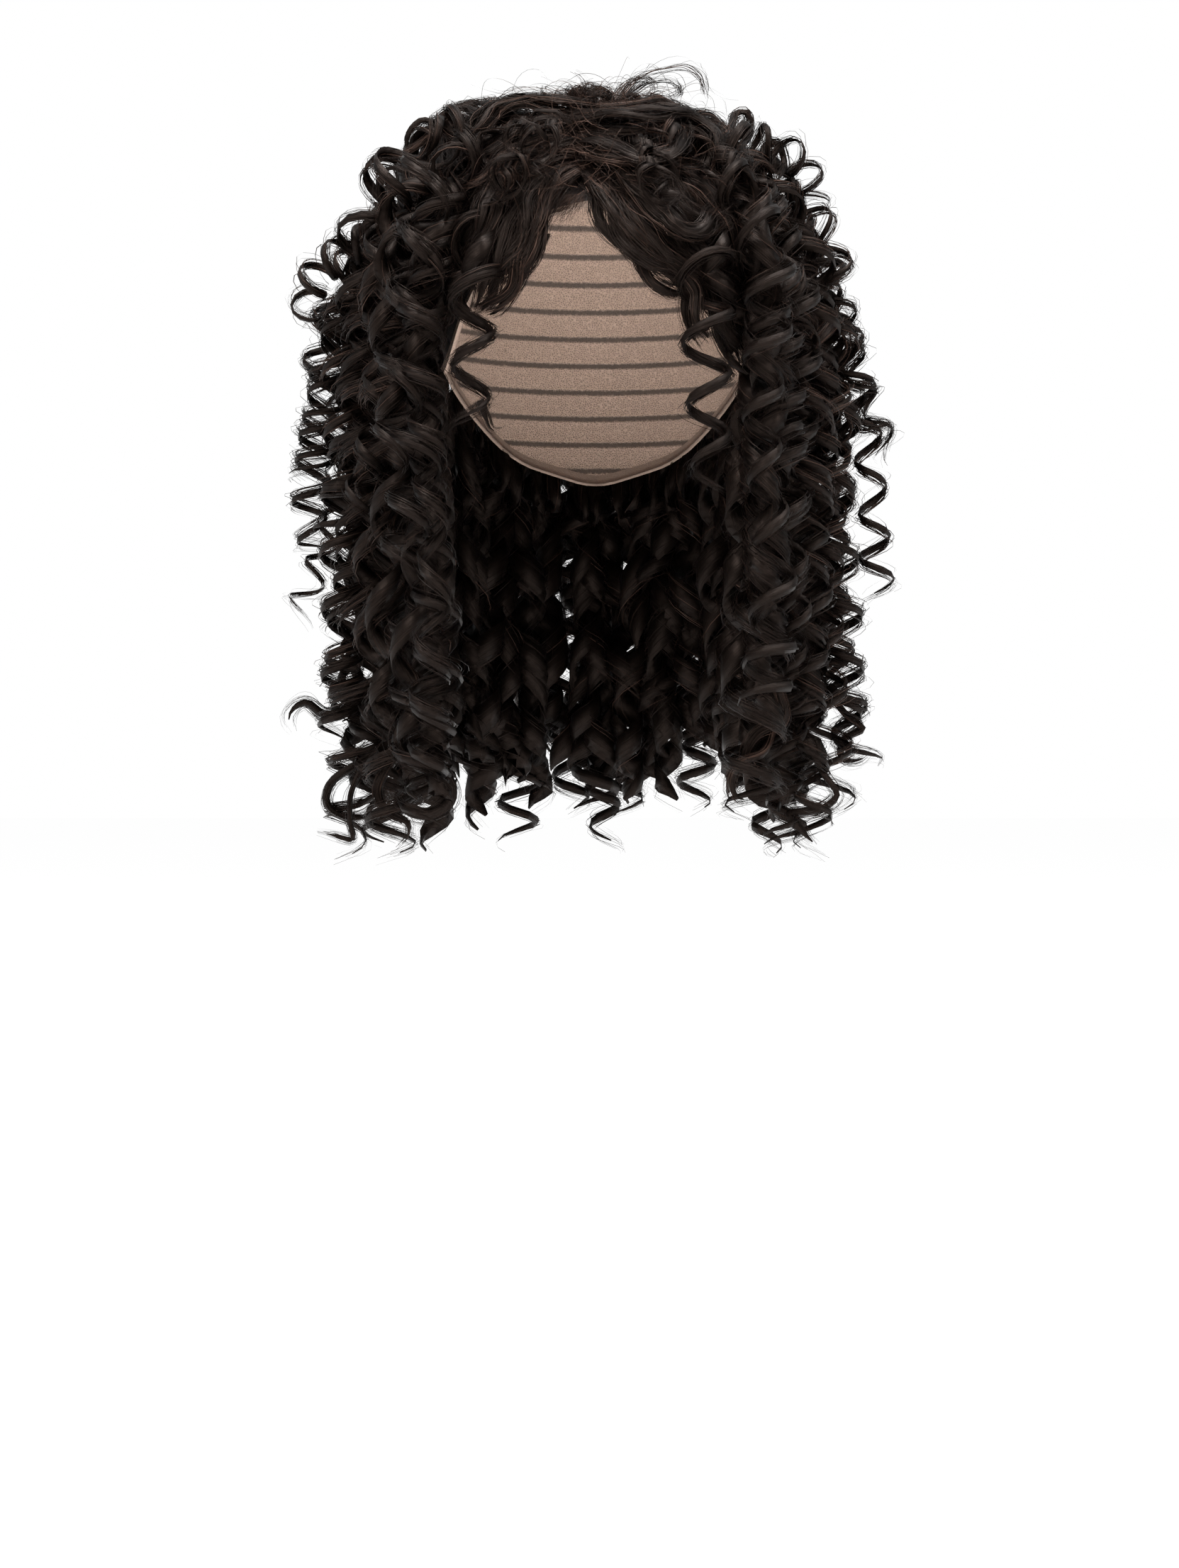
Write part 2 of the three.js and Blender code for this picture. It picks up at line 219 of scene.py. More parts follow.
# The styles of lock. A pair is a range that each lock draws from, or for the tint, from 0, black, to 1,
# brown, its mean and spread. Radius and pitch are those of the curl, and the rest is as in lock().
ROW_TINT = (0.3, 0.1)
TEMPLE_TINT = (0.32, 0.1)
WAVE = dict(radius=(5.5, 7.5), pitch=(38, 50), band=(9.5, 12.5), thickness=(3.57, 4.83), hook=(0.2, 0.6),
            breathing=0.6, detail=9)
RING = dict(radius=(8.0, 10.5), pitch=(26, 34), band=(7.0, 9.0), thickness=(2.72, 3.68), hook=(0.3, 0.8),
            breathing=1.0, detail=13, core=0.55, clumps=7)
UNDER = dict(radius=2.5, pitch=44, band=16, thickness=3, strands=5, loose=1, curl_full=20, root_band=1.0,
             swing=1.1, tint=ROW_TINT)
SHAPED = dict(radius=(1.0, 2.4), pitch=(36.8, 55.2), thickness=3.6, curl_full=24, root_band=1.1, core=0.6,
              swing=1.2, tip_taper=16, tint=(0.29, 0.12))
CROWN_LOOP = dict(radius=0.8, pitch=46, strands=20, core=0.6, swing=1.0, clumps=6, detail=16)
LOOP = dict(radius=0.6, pitch=40, band=3.6, thickness=2.4, strands=16, loose=4, core=0, swing=1.0,
            detail=24)
STRAY = dict(tint=ROW_TINT, hook=(0.1, 0.5), strands=16, loose=7, tip_taper=12, breathing=1.6, core=0.42,
             clumps=5, detail=12)
HEM = dict(radius=0.8, pitch=46, strands=20, loose=4, curl_full=20, core=0.65, swing=0.9, clumps=7,
           detail=18, tint=(0.3, 0.08))
FACE = dict(band=6.0, thickness=3.8, strands=34, loose=6, tint=0.24, curl_full=26, tip_taper=16, core=0.6,
            clumps=6, detail=14, breathing=0.2, hand=1)
TUFT = dict(radius=(2.5, 4.5), pitch=(10, 16), band=4, thickness=3, strands=14, loose=6, curl_full=8,
            core=0, detail=12, tint=(0.45, 0.1))
# Curls that lie on the crown.
CROWN_CURL = dict(thickness=3, loose=6, core=0.5, clumps=6, detail=11)
TOUSLED = dict(radius=(2.5, 4.5), pitch=(24, 38), band=(5, 9), strands=18, curl_full=14, tint=(0.4, 0.1),
               **CROWN_CURL)
CURLET = dict(radius=(4.5, 6.5), pitch=(20, 27), band=(5.5, 8), strands=14, curl_full=10, breathing=0.8,
              tint=(0.36, 0.1), **CROWN_CURL)
# Single hairs.
SINGLE = dict(strands=0, loose=1, core=0)
FRIZZ = dict(radius=(1, 3.5), pitch=(24, 50), band=1, thickness=1, curl_full=12, detail=18,
             tint=(0.5, 0.12), **SINGLE)
FLYAWAY = dict(radius=(2, 6), pitch=(26, 60), band=1, thickness=1, curl_full=25, detail=14,
               tint=(0.6, 0.15), **SINGLE)
BABY = dict(radius=(0.3, 1.5), pitch=20, band=0.6, thickness=0.6, curl_full=14, tint=(0.7, 0.15), **SINGLE)
# The number that the random draws of each kind begin with. In the hanging rows it is the row's number.
DRAWS = dict(under=30, shaped=50, crown_loops=51, loops=52, temple=55, face=60, strays=70, hem=75,
             flyaways=80, frizz=85, tousled=86, tuft=87, curlets=88, baby=90)

# Rows of locks round the head, from the lowest weft to the crown. A root lies at its share of the way
# from the top of the cap to its edge. The lock rises to lift, comes to its shoulder and ends at its
# tip. Reach is how far a point stands out beyond the cap's widest line. The columns are: azimuth of
# the first lock, count, root, lift, shoulder reach, shoulder z, tip reach, tip z, share of waves
ROWS = [
    (114, 17, 0.96, 7, 4, -172, 4, -304, 1.0),
    (70, 21, 0.90, 10, 8, -140, 8, -308, 0.9),
    (60, 21, 0.80, 13, 13, -122, 14, -312, 0.8),
    (55, 21, 0.69, 16, 20, -106, 22, -330, 0.4),
    (50, 21, 0.58, 18, 26, -88, 28, -306, 0.6),
    (49, 20, 0.48, 21, 31, -72, 33, -282, 0.5),
    (47, 19, 0.38, 22, 29, -52, 38, -240, 0.4),
    (52, 17, 0.28, 22, 17, -24, 42, -176, 0.4),
    (76, 12, 0.19, 16, -8, -16, 31, -100, 0.4),
    (30, 12, 0.08, 6, -42, -9, 2, -20, 0.6),
    (118, 14, 0.86, 11, 11, -146, 11, -306, 0.8),
    (122, 7, 0.18, 21, 11, -3, 38, -50, 0.0),
]
# How unevenly the locks of a row are set, as a share of a step, and how far their turn, shift, lift,
# shoulder, reach and bearing are spread.
UNEVEN = 0.3
TURN_SPREAD = 4
SHIFT_SPREAD = 3.5
LIFT_SPREAD = 1.5
SHOULDER_SPREAD = 7
REACH_SPREAD = 2.5
BEARING_SPREAD = 2.2
# A shoulder lies at least so far below its root, and over the crown at most so far above its place.
SHOULDER_DROP = 14
SHOULDER_RISE = 20
# A lock is highest so far down from its root.
LIFT_POLAR = 11
# How far the tips of a row are spread in height, and those of the row at the very top.
TIP_SPREAD = 14
TOP_SPREAD = 3
TOP_ROOT = 0.1
# The strands of a lock at the back and in front, and its loose ones. The rows that are rooted low on the
# cap have fewer strands and wider bands, narrow at their roots.
BACK_STRANDS = 10
OUTER_STRANDS = 13
ROW_LOOSE = 2
INNER_ROOT = 0.75
INNER_WIDER = 1.4
INNER = {"strands": 8, "detail": 7, "root_band": 0.6}
# No tip hangs lower than this.
LOWEST_TIP = -344
# The hair stands out more on the wearer's right than on the left, and there the crown is higher.
LEAN = 5.0
CROWN_TILT = 6.0
CROWN_ROOT = 0.3

# The under layer, flat over the cap. The columns are: root, end of the lock, count round the head
UNDER_ROWS = [
    (0.01, 0.24, 20),
    (0.16, 0.44, 32),
    (0.36, 0.64, 38),
    (0.58, 0.82, 34),
    (0.76, 0.97, 34),
]
# The course of such a lock: share of its way, share of its swing to one side, and height over the head.
UNDER_COURSE = [
    (0.0, 0.0, CAP_WALL + 1),
    (0.4, 0.4, 6),
    (0.75, 1.0, 7),
    (1.0, 1.3, 5),
]
UNDER_SWING = 5

# Locks of the fringe and the front of the crown, given one by one. Each has a band and a count of loose
# strands, then the points that it passes: x, z, and how far it stands off the head.
FRINGE_RIGHT = [
    (7, 14, [(-7, -29, 4), (-19, -39, 7), (-25, -51, 8), (-27, -63, 8), (-32, -76, 9), (-40, -86, 10)]),
    (8, 12, [(-4, -24, 5), (-14, -32, 9), (-23, -43, 10), (-26, -57, 10), (-31, -71, 10)]),
    (9, 8, [(-14, -27, 5), (-27, -39, 9), (-33, -54, 11), (-35, -68, 11), (-42, -80, 11), (-48, -87, 12)]),
    (11, 6, [(-24, -25, 6), (-39, -38, 11), (-45, -54, 14), (-50, -66, 14), (-52, -78, 13)]),
    (11, 6, [(-34, -22, 8), (-50, -34, 14), (-60, -48, 17), (-66, -62, 18), (-62, -76, 17)]),
    (12, 6, [(-10, -18, 8), (-30, -26, 14), (-44, -38, 17), (-50, -52, 19), (-58, -64, 19)]),
    (12, 6, [(-6, -10, 9), (-28, -17, 15), (-44, -23, 18), (-55, -35, 20), (-66, -38, 21), (-74, -50, 22)]),
    (9, 8, [(-22, -38, 6), (-33, -56, 9), (-40, -70, 11), (-46, -80, 12), (-54, -85, 13)]),
    (11, 6, [(-56, -64, 14), (-65, -80, 14), (-70, -96, 13), (-71, -114, 12)]),
    (9, 6, [(-30, -58, 9), (-36, -72, 10), (-41, -83, 11), (-48, -91, 11), (-57, -95, 12)]),
    (9, 6, [(-42, -62, 12), (-47, -76, 13), (-52, -87, 13), (-58, -96, 13)]),
]
FRINGE_LEFT = [
    (8, 14, [(-5, -30, 4), (5, -46, 7), (12, -60, 9), (22, -74, 10), (33, -80, 11), (43, -82, 12)]),
    (8, 12, [(-6, -26, 5), (2, -38, 8), (8, -50, 9), (16, -64, 10), (26, -75, 11)]),
    (10, 8, [(4, -28, 5), (15, -44, 9), (24, -60, 12), (35, -72, 13), (46, -77, 14)]),
    (11, 6, [(12, -27, 6), (26, -42, 11), (33, -54, 14), (42, -66, 15), (52, -72, 16)]),
    (12, 6, [(14, -30, 12), (27, -50, 17), (40, -60, 19), (54, -53, 20), (67, -40, 20), (75, -44, 20)]),
    (11, 6, [(22, -26, 8), (40, -36, 14), (52, -46, 18), (62, -60, 20), (66, -74, 20)]),
    (11, 6, [(-2, -20, 8), (16, -30, 13), (30, -40, 16), (40, -52, 18), (52, -62, 19)]),
    (9, 8, [(6, -38, 6), (17, -57, 10), (27, -70, 12), (39, -77, 13), (50, -80, 14)]),
    (11, 6, [(38, -62, 10), (49, -72, 10), (54, -84, 9), (55, -97, 9), (58, -110, 9)]),
    (11, 6, [(46, -60, 11), (57, -74, 11), (61, -88, 10), (63, -104, 10)]),
    (8, 6, [(30, -70, 12), (39, -79, 13), (46, -88, 13), (45, -99, 12), (50, -110, 12)]),
    (8, 6, [(42, -70, 13), (51, -82, 13), (54, -94, 12), (61, -108, 11), (68, -122, 11)]),
]
CROWN_FRONT = [
    (12, 6, [(-10, -2, 14), (-28, 3, 20), (-40, 6, 25), (-51, 4, 26),
             (-61, -6, 26), (-65, -18, 25), (-60, -30, 23)]),
    (12, 6, [(-34, -3, 18), (-50, 3, 25), (-60, 5, 29), (-70, 3, 31),
             (-76, -4, 31), (-75, -14, 30), (-70, -26, 28)]),
    (11, 6, [(-56, -6, 22), (-70, -4, 30), (-81, -9, 34), (-89, -17, 36), (-88, -28, 35), (-82, -40, 32)]),
    (12, 6, [(-8, -6, 12), (-24, -5, 17), (-40, -10, 20), (-50, -20, 21), (-61, -17, 24), (-70, -28, 25)]),
    (12, 6, [(-6, -14, 9), (-28, -17, 14), (-44, -24, 17), (-53, -35, 19), (-65, -37, 22), (-72, -50, 23)]),
    (11, 6, [(0, 4, 16), (-16, 4, 20), (-30, 4, 23), (-44, -1, 24), (-52, -11, 23), (-62, -15, 24)]),
    (12, 6, [(-18, -12, 11), (-2, -18, 14), (14, -26, 17), (29, -23, 20), (37, -10, 22), (33, -2, 22)]),
    (12, 6, [(-10, -7, 12), (12, -11, 17), (28, -9, 20), (42, -8, 23), (52, -17, 24), (54, -30, 23)]),
    (11, 6, [(0, -1, 12), (16, 3, 17), (30, 4, 21), (42, -4, 23), (48, -15, 22)]),
    (8, 6, [(36, -10, 20), (45, -5, 23), (52, -4, 25), (58, -9, 26), (56, -18, 25), (62, -30, 25)]),
]
# Narrow locks that stand up from it in loops, one by one.
CROWN_LOOPS = [
    (6, 4, [(54, -22, 20), (61, -8, 26), (65, 4, 30), (70, 5, 31),
            (71, -5, 30), (67, -18, 26), (72, -30, 26)]),
    (5, 4, [(66, -28, 24), (76, -18, 28), (79, -10, 31), (84, -9, 32), (87, -18, 32), (84, -32, 30)]),
    (5, 4, [(-64, -12, 24), (-74, 0, 30), (-82, 2, 34), (-88, -6, 35), (-86, -18, 34)]),
]
SHAPED_LOCKS = {
    "fringe_strands_right": FRINGE_RIGHT,
    "fringe_strands_left": FRINGE_LEFT,
    "crown_front_strands": CROWN_FRONT,
}
# Beside each of them lie copies, a little lower and slipped to one side, with fewer strands.
SHAPED_STRANDS = 40
COPY_STRANDS = 20
SHAPED_SPREAD = 0.9
COPIES = 2
SLIP = 3.2
COPY_DEPTH = 3.0
# A point beyond the head's outline lies this far forward, as a share of the head's half length squared.
LEAST_FORWARD = 0.01

# The frizz over the front of the crown: how many hairs, the ranges of x, z and offset that they start in,
# and the height below which they belong to the fringe.
FRIZZ_HAIRS = 620
FRIZZ_START = ((-70, 70), (-42, 4), (14, 24))
FRIZZ_LENGTHS = (18, 44)
FRIZZ_FRINGE_Z = -12

# The tuft above the middle of the crown: its place, how far it spreads, and how high its locks rise.
TUFT_LOCKS = 26
TUFT_PLACE = (-3, 4, 14)
TUFT_SPREAD = (7.5, 6.0, 2.0)
TUFT_RISE = (5, 12)

# Loose curls that lie every way over the crown, from this polar angle on.
TOUSLED_CURLS = 30
TOUSLED_FROM = 3
TOUSLED_OFFSETS = (7, 12)
TOUSLED_LENGTHS = (26, 44)
# Of a hair that lies along the head, each half is this share of its length. It rises by a share of its
# length, and sinks by one from a range: over the crown, and flyaways all round.
LYING_HALF = 0.4
CROWN_LYING = (0.1, (-0.35, -0.05))
FLYAWAY_LYING = (0.14, (-0.25, 0.0))

# Small ringlets over both sides of the front of the crown. Each starts in these ranges of x, z and
# offset, on either side, and goes this far out and down.
CURLETS = 18
CURLET_START = ((18, 64), (-30, -2), (21, 27))
CURLET_REACH = ((4, 16), (22, 40))
CURLET_LIFT = 3

# Thin loops of a few strands above the crown: the points that they pass, as for the fringe.
LOOPS = [
    [(10, 8, 16), (18, 18, 24), (28, 24, 30), (41, 26, 36), (50, 18, 36), (51, 6, 32)],
    [(14, 8, 18), (24, 17, 24), (34, 20, 28), (38, 12, 26), (30, 6, 22)],
    [(8, 8, 16), (14, 16, 22), (22, 19, 26), (27, 13, 25), (22, 6, 20)],
]

# Locks at the temples, between the fringe and the sides. The columns are: root azimuth, root polar,
# lift, shoulder azimuth, shoulder reach, shoulder z, tip azimuth, tip reach, tip z, share of waves, and
# whether it is on the wearer's right, the wearer's left or both
TEMPLE = [
    (46, 66, 10, 56, 14, -100, 58, 16, -230, 1, (-1, 1)),
    (46, 54, 16, 52, 20, -80, 54, 22, -270, 1, (-1, 1)),
    (46, 44, 18, 49, 20, -56, 52, 26, -180, 1, (-1, 1)),
    (47, 36, 20, 48, 16, -32, 50, 30, -124, 0, (-1, 1)),
    (41, 55, 12, 42, 12, -70, 48, 10, -92, 1, (-1,)),
    (40, 55, 12, 38, 12, -76, 42, 10, -106, 1, (1,)),
    (45, 61, 10, 47, 10, -88, 52, 10, -140, 1, (1,)),
    (43, 57, 9, 41, 8, -84, 44, 8, -112, 1, (1,)),
    (37, 53, 9, 37, 8, -72, 40, 8, -98, 1, (1,)),
    (38, 51, 12, 36, 14, -66, 39, 13, -86, 1, (-1, 1)),
]
TEMPLE_SPREAD = 8

# The ringlet in front of each cheek. The columns are: side, root azimuth, root polar, lift, shoulder
# azimuth, shoulder reach, shoulder z, tip azimuth, tip reach, tip z, radius, pitch, turn at the root
FACE_CURLS = [
    (-1, 40, 56, 11, 36, 18, -78, 36, 22, -152, 10.0, 30, 230),
    (1, 40, 56, 11, 32, 18, -80, 32, 22, -180, 10.0, 28, -40),
]

# Single locks that stand out of the outline. Each has a root (azimuth, share of the way to the edge),
# the points that it passes (azimuth, reach, z), then radius, pitch and band.
STRAYS = [
    ((-80, 0.42), [(-80, 32, -54), (-84, 54, -68), (-86, 60, -80), (-90, 58, -96)], 7.0, 17, 8.0),
    ((-88, 0.40), [(-88, 34, -52), (-90, 50, -88), (-92, 57, -126)], 8.5, 25, 8.0),
    ((-84, 0.46), [(-84, 38, -74), (-86, 50, -114), (-88, 60, -170)], 9.0, 28, 7.5),
    ((-86, 0.50), [(-86, 40, -84), (-88, 52, -132), (-90, 60, -180), (-92, 55, -206)], 9.5, 24, 7.0),
    ((-94, 0.54), [(-94, 42, -90), (-96, 46, -150), (-98, 54, -190), (-96, 68, -232)], 7.5, 27, 3.5),
    ((-78, 0.60), [(-78, 36, -100), (-80, 40, -200), (-82, 44, -250), (-84, 46, -292)], 8.5, 30, 9.0),
    ((-74, 0.66), [(-74, 32, -104), (-76, 36, -230), (-80, 40, -306), (-84, 44, -344)], 10.5, 34, 6.5),
    ((-57, 0.66), [(-56, 26, -104), (-55, 26, -230), (-53, 22, -332)], 11.0, 36, 8.0),
    ((-65, 0.70), [(-65, 28, -110), (-65, 30, -240), (-64, 30, -344)], 9.5, 32, 7.0),
    ((86, 0.48), [(86, 36, -78), (86, 48, -118), (88, 58, -140), (88, 62, -158)], 6.5, 24, 4.5),
    ((84, 0.50), [(84, 34, -84), (86, 46, -130), (88, 68, -156)], 6.0, 38, 3.0),
    ((90, 0.52), [(88, 38, -94), (88, 52, -148), (88, 57, -224)], 8.5, 26, 7.5),
    ((80, 0.60), [(80, 36, -100), (82, 36, -230), (86, 50, -304)], 9.5, 30, 7.0),
    ((74, 0.24), [(76, 10, -12), (82, 24, -24), (86, 30, -46)], 8.0, 17, 4.5),
    ((82, 0.34), [(82, 26, -40), (84, 38, -62), (86, 36, -90)], 7.5, 21, 6.0),
    ((66, 0.70), [(66, 28, -110), (68, 30, -250), (70, 32, -344)], 9.5, 33, 7.0),
    ((76, 0.68), [(76, 32, -110), (77, 34, -240), (79, 36, -326)], 10.0, 30, 7.0),
    ((56, 0.70), [(54, 22, -108), (52, 20, -230), (50, 16, -326)], 11.0, 36, 8.0),
    ((82, 0.62), [(80, 34, -100), (82, 38, -200), (84, 42, -260), (84, 42, -298)], 8.5, 30, 9.0),
]
STRAY_LIFT = 15

# Single curls of the hem at each side, given one by one, and the end of a face curl. Each has its piece,
# band and thickness, then the points that it passes: x, y, z.
HEM_CURLS = [
    ("side_strands_right", 8, 6,
     [(-96, -30, -270), (-98, -32, -290), (-110, -34, -300), (-122, -34, -308), (-124, -32, -318),
      (-115, -30, -324), (-105, -32, -321), (-106, -34, -313)]),
    ("side_strands_right", 5, 4,
     [(-108, -38, -300), (-113, -40, -313), (-113, -40, -326), (-112, -39, -335), (-121, -38, -333),
      (-130, -36, -331)]),
    ("side_strands_right", 9, 7,
     [(-84, -62, -272), (-90, -66, -290), (-80, -68, -300), (-69, -68, -306), (-67, -67, -316),
      (-77, -66, -323), (-89, -64, -318), (-92, -62, -308)]),
    ("side_strands_right", 6, 5,
     [(-92, -58, -296), (-101, -60, -312), (-96, -60, -322), (-86, -60, -326), (-86, -59, -333),
      (-92, -58, -338)]),
    ("side_strands_right", 6, 4,
     [(-110, -10, -262), (-118, -12, -274), (-127, -14, -276), (-136, -16, -271), (-143, -16, -277),
      (-141, -15, -285)]),
    ("side_strands_left", 9, 7,
     [(82, -58, -262), (84, -62, -280), (73, -64, -286), (67, -64, -296), (74, -62, -305),
      (84, -60, -302)]),
    ("side_strands_left", 9, 6,
     [(80, -60, -284), (76, -66, -294), (66, -67, -298), (61, -66, -306), (64, -64, -315),
      (74, -62, -317)]),
    ("side_strands_left", 7, 5,
     [(98, -40, -288), (104, -42, -304), (111, -42, -314), (104, -44, -320), (88, -45, -322),
      (94, -44, -330), (102, -43, -337)]),
    ("side_strands_left", 5, 4,
     [(106, -12, -262), (116, -14, -274), (126, -14, -283), (116, -15, -289), (115, -15, -297),
      (123, -14, -298), (130, -12, -292)]),
    ("face_curl_strands_right", 4, 2.5,
     [(-53, -94, -136), (-50, -94, -143), (-46, -94, -149), (-41, -93, -147)]),
]

# Fine loose hairs all round: how many, how long, how far off the head they start, and at which shares of
# the way to the edge, squared. In front they start higher up.
FLYAWAYS = 240
FLYAWAY_LENGTHS = (35, 90)
FLYAWAY_OFFSETS = (8, 16)
FLYAWAY_SHARES = (0.01, 0.4)
FLYAWAY_FRONT = 0.6

# Short hairs along the hairline, the first of them at the parting: how far up they start, how far they
# swing to their side, and how far they hang.
BABY_HAIRS = 760
PARTING_HAIRS = 300
PARTING = (-13, 6)
PARTING_MIDDLE = -4
PARTING_DEPTH = 4
HAIRLINE_DEPTH = 9
BABY_SWING = (1, 9)
BABY_DROP = (6, 17)


def smoothstep(value, low, high):
    share = np.clip((value - low) / (high - low), 0.0, 1.0)
    return share * share * (3 - 2 * share)


def unit(vectors):
    return vectors / (np.linalg.norm(vectors, axis=-1, keepdims=True) + 1e-9)


def skull(azimuth, polar, offset):
    """The point of the head at two angles, in degrees, moved out along its normal. Also for arrays."""
    a, p = np.radians(azimuth), np.radians(polar)
    direction = np.stack([np.sin(p) * np.sin(a), -np.sin(p) * np.cos(a), np.cos(p) + 0 * a], axis=-1)
    away = unit(direction / HEAD_HALF) * np.asarray(offset)[..., None]
    return direction * HEAD_HALF + away + HEAD_CENTRE


def brow(azimuth, z, offset):
    """The point of the head at a height, moved out along its normal."""
    polar = math.degrees(math.acos(np.clip(1 + z / HEAD_HALF[2], -1, 1)))
    return skull(azimuth, polar, offset)


def seen(x, z, offset):
    """The point that is seen at x and z from the front, on the head grown by an offset."""
    across = x / (HEAD_HALF[0] + offset)
    up = (z - HEAD_CENTRE[2]) / (HEAD_HALF[2] + offset)
    forward = math.sqrt(max(1 - across * across - up * up, LEAST_FORWARD))
    return np.array([x, -(HEAD_HALF[1] + offset) * forward, z])


def standing(azimuth, reach, z):
    """The point at height z that stands reach beyond the cap's widest line."""
    a = math.radians(azimuth)
    return np.array([(HEAD_HALF[0] + reach) * math.sin(a), -(HEAD_HALF[1] + reach) * math.cos(a), z])


def signed(azimuth):
    """An azimuth as an angle from -180 to 180."""
    return (azimuth + 180) % 360 - 180


def edge_polar(azimuth):
    """Polar angle of the cap's edge."""
    z = np.interp(abs(signed(azimuth)), CAP_EDGE_AZIMUTHS, CAP_EDGE_HEIGHTS)
    return math.degrees(math.acos(1 + z / HEAD_HALF[2]))


def spline(points, per_span=24):
    """A smooth curve through the points (centripetal Catmull-Rom)."""
    points = np.asarray(points, float)
    points = np.vstack([2 * points[0] - points[1], points, 2 * points[-1] - points[-2]])
    curve = []
    for values in zip(points, points[1:], points[2:], points[3:]):
        knots = [0.0, *np.cumsum(np.linalg.norm(np.diff(values, axis=0), axis=1) ** 0.5)]
        t = np.linspace(knots[1], knots[2], per_span, endpoint=False)[:, None]
        for level in SPLINE_LEVELS:
            values = [((knots[high] - t) * before + (t - knots[low]) * after) / (knots[high] - knots[low])
                      for (low, high), before, after in zip(level, values, values[1:])]
        curve.append(values[0])
    curve.append(points[-2][None])
    return np.vstack(curve)


def sample(table, place):
    """Values of a table at places from 0 to 1 along it, for any array of places."""
    place = np.clip(place, 0, 1) * (len(table) - 1)
    low = np.minimum(place.astype(int), len(table) - 2)
    part = (place - low)[..., None]
    return table[low] * (1 - part) + table[low + 1] * part


class Axis:
    """The line that a lock winds round, evenly sampled, with a frame that turns as little as it can."""

    def __init__(self, points):
        curve = spline(points)
        run = np.concatenate([[0], np.cumsum(np.linalg.norm(np.diff(curve, axis=0), axis=1))])
        self.length = run[-1]
        count = max(8, int(self.length / AXIS_STEP))
        at = np.linspace(0, self.length, count + 1)
        self.points = np.stack([np.interp(at, run, curve[:, k]) for k in range(3)], axis=1)
        ahead = unit(np.gradient(self.points, axis=0))
        outward = unit(self.points[0] - HEAD_CENTRE)
        normals = [unit(outward - ahead[0] * np.dot(outward, ahead[0]) + 1e-6)]
        for direction in ahead[1:]:
            normals.append(unit(normals[-1] - direction * np.dot(normals[-1], direction)))
        self.normals = np.array(normals)
        self.binormals = np.cross(ahead, self.normals)


class Hair:
    """The bands and strands of one piece, gathered as arrays and made into one mesh."""

    def __init__(self):
        self.points = []
        self.quads = []
        self.uvs = []
        self.count = 0

    def add_grid(self, grid, across_uv, closed):
        """Faces over a grid of points (line, step, side, xyz), with a texture place for each side."""
        lines, steps, sides = grid.shape[:3]
        self.points.append(grid.reshape(-1, 3))
        index = self.count + np.arange(lines * steps * sides).reshape(lines, steps, sides)
        beside = np.roll(index, -1, axis=2)
        uv_beside = np.roll(across_uv, -1, axis=1)
        kept = sides if closed else sides - 1
        corners = [index[:, :-1, :kept], beside[:, :-1, :kept], beside[:, 1:, :kept], index[:, 1:, :kept]]
        self.quads.append(np.stack(corners, axis=-1).reshape(-1, 4))
        along = END_UV + (1 - 2 * END_UV) * np.arange(steps) / (steps - 1)
        shape = (lines, steps - 1, kept)
        low = np.broadcast_to(along[None, :-1, None], shape)
        high = np.broadcast_to(along[None, 1:, None], shape)
        here = np.broadcast_to(across_uv[:, None, :kept], shape)
        there = np.broadcast_to(uv_beside[:, None, :kept], shape)
        uv = np.stack([here, low, there, low, there, high, here, high], axis=-1)
        self.uvs.append(uv.reshape(-1, 2))
        self.count += lines * steps * sides

    def add_band(self, path, wide, face, tint):
        """One band with a lens section: its half widths point along wide and face at each step."""
        turn = FULL_TURN * np.arange(LENS_SIDES) / LENS_SIDES
        cosine = np.cos(turn)[None, :, None]
        sine = np.sin(turn)[None, :, None]
        grid = path[:, None] + wide[:, None] * cosine + face[:, None] * sine
        across_uv = (column_of(tint) + 0.5 + BAND_UV * np.cos(turn)) / TINT_COLUMNS
        self.add_grid(grid[None], across_uv[None], True)

    def add_strands(self, paths, across, widths, tints, places):
        """Flat ribbons along paths (strand, step, xyz)."""
        half = across * widths[..., None] / 2
        grid = np.stack([paths - half, paths + half], axis=2)
        middle = column_of(tints) + 0.5 + STRAND_UV * places
        across_uv = np.stack([middle - STRAND_UV_HALF, middle + STRAND_UV_HALF], axis=1) / TINT_COLUMNS
        self.add_grid(grid, across_uv, False)

    def make(self, name, node, material):
        """The piece, with all that was gathered."""
        points = np.vstack(self.points) * MM
        quads = np.vstack(self.quads)
        mesh = bpy.data.meshes.new(name)
        mesh.vertices.add(len(points))
        mesh.vertices.foreach_set("co", points.astype(np.float32).ravel())
        mesh.loops.add(quads.size)
        mesh.loops.foreach_set("vertex_index", quads.astype(np.int32).ravel())
        mesh.polygons.add(len(quads))
        mesh.polygons.foreach_set("loop_start", np.arange(0, quads.size, 4, dtype=np.int32))
        mesh.polygons.foreach_set("use_smooth", np.ones(len(quads), dtype=bool))
        uv_map = mesh.uv_layers.new(name="OFBake")
        uv_map.data.foreach_set("uv", np.vstack(self.uvs).astype(np.float32).ravel())
        mesh.update(calc_edges=True)
        mesh.validate()
        piece = bpy.data.objects.new(name, mesh)
        bpy.context.scene.collection.objects.link(piece)
        mesh.materials.append(material)
        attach(piece, "root")
        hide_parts(node)
        print(name, 2 * len(quads), "triangles")


def column_of(tint):
    """The column of the texture that holds a tint from 0, black, to 1, brown."""
    return np.floor(np.clip(tint, 0, 0.999) * TINT_COLUMNS)


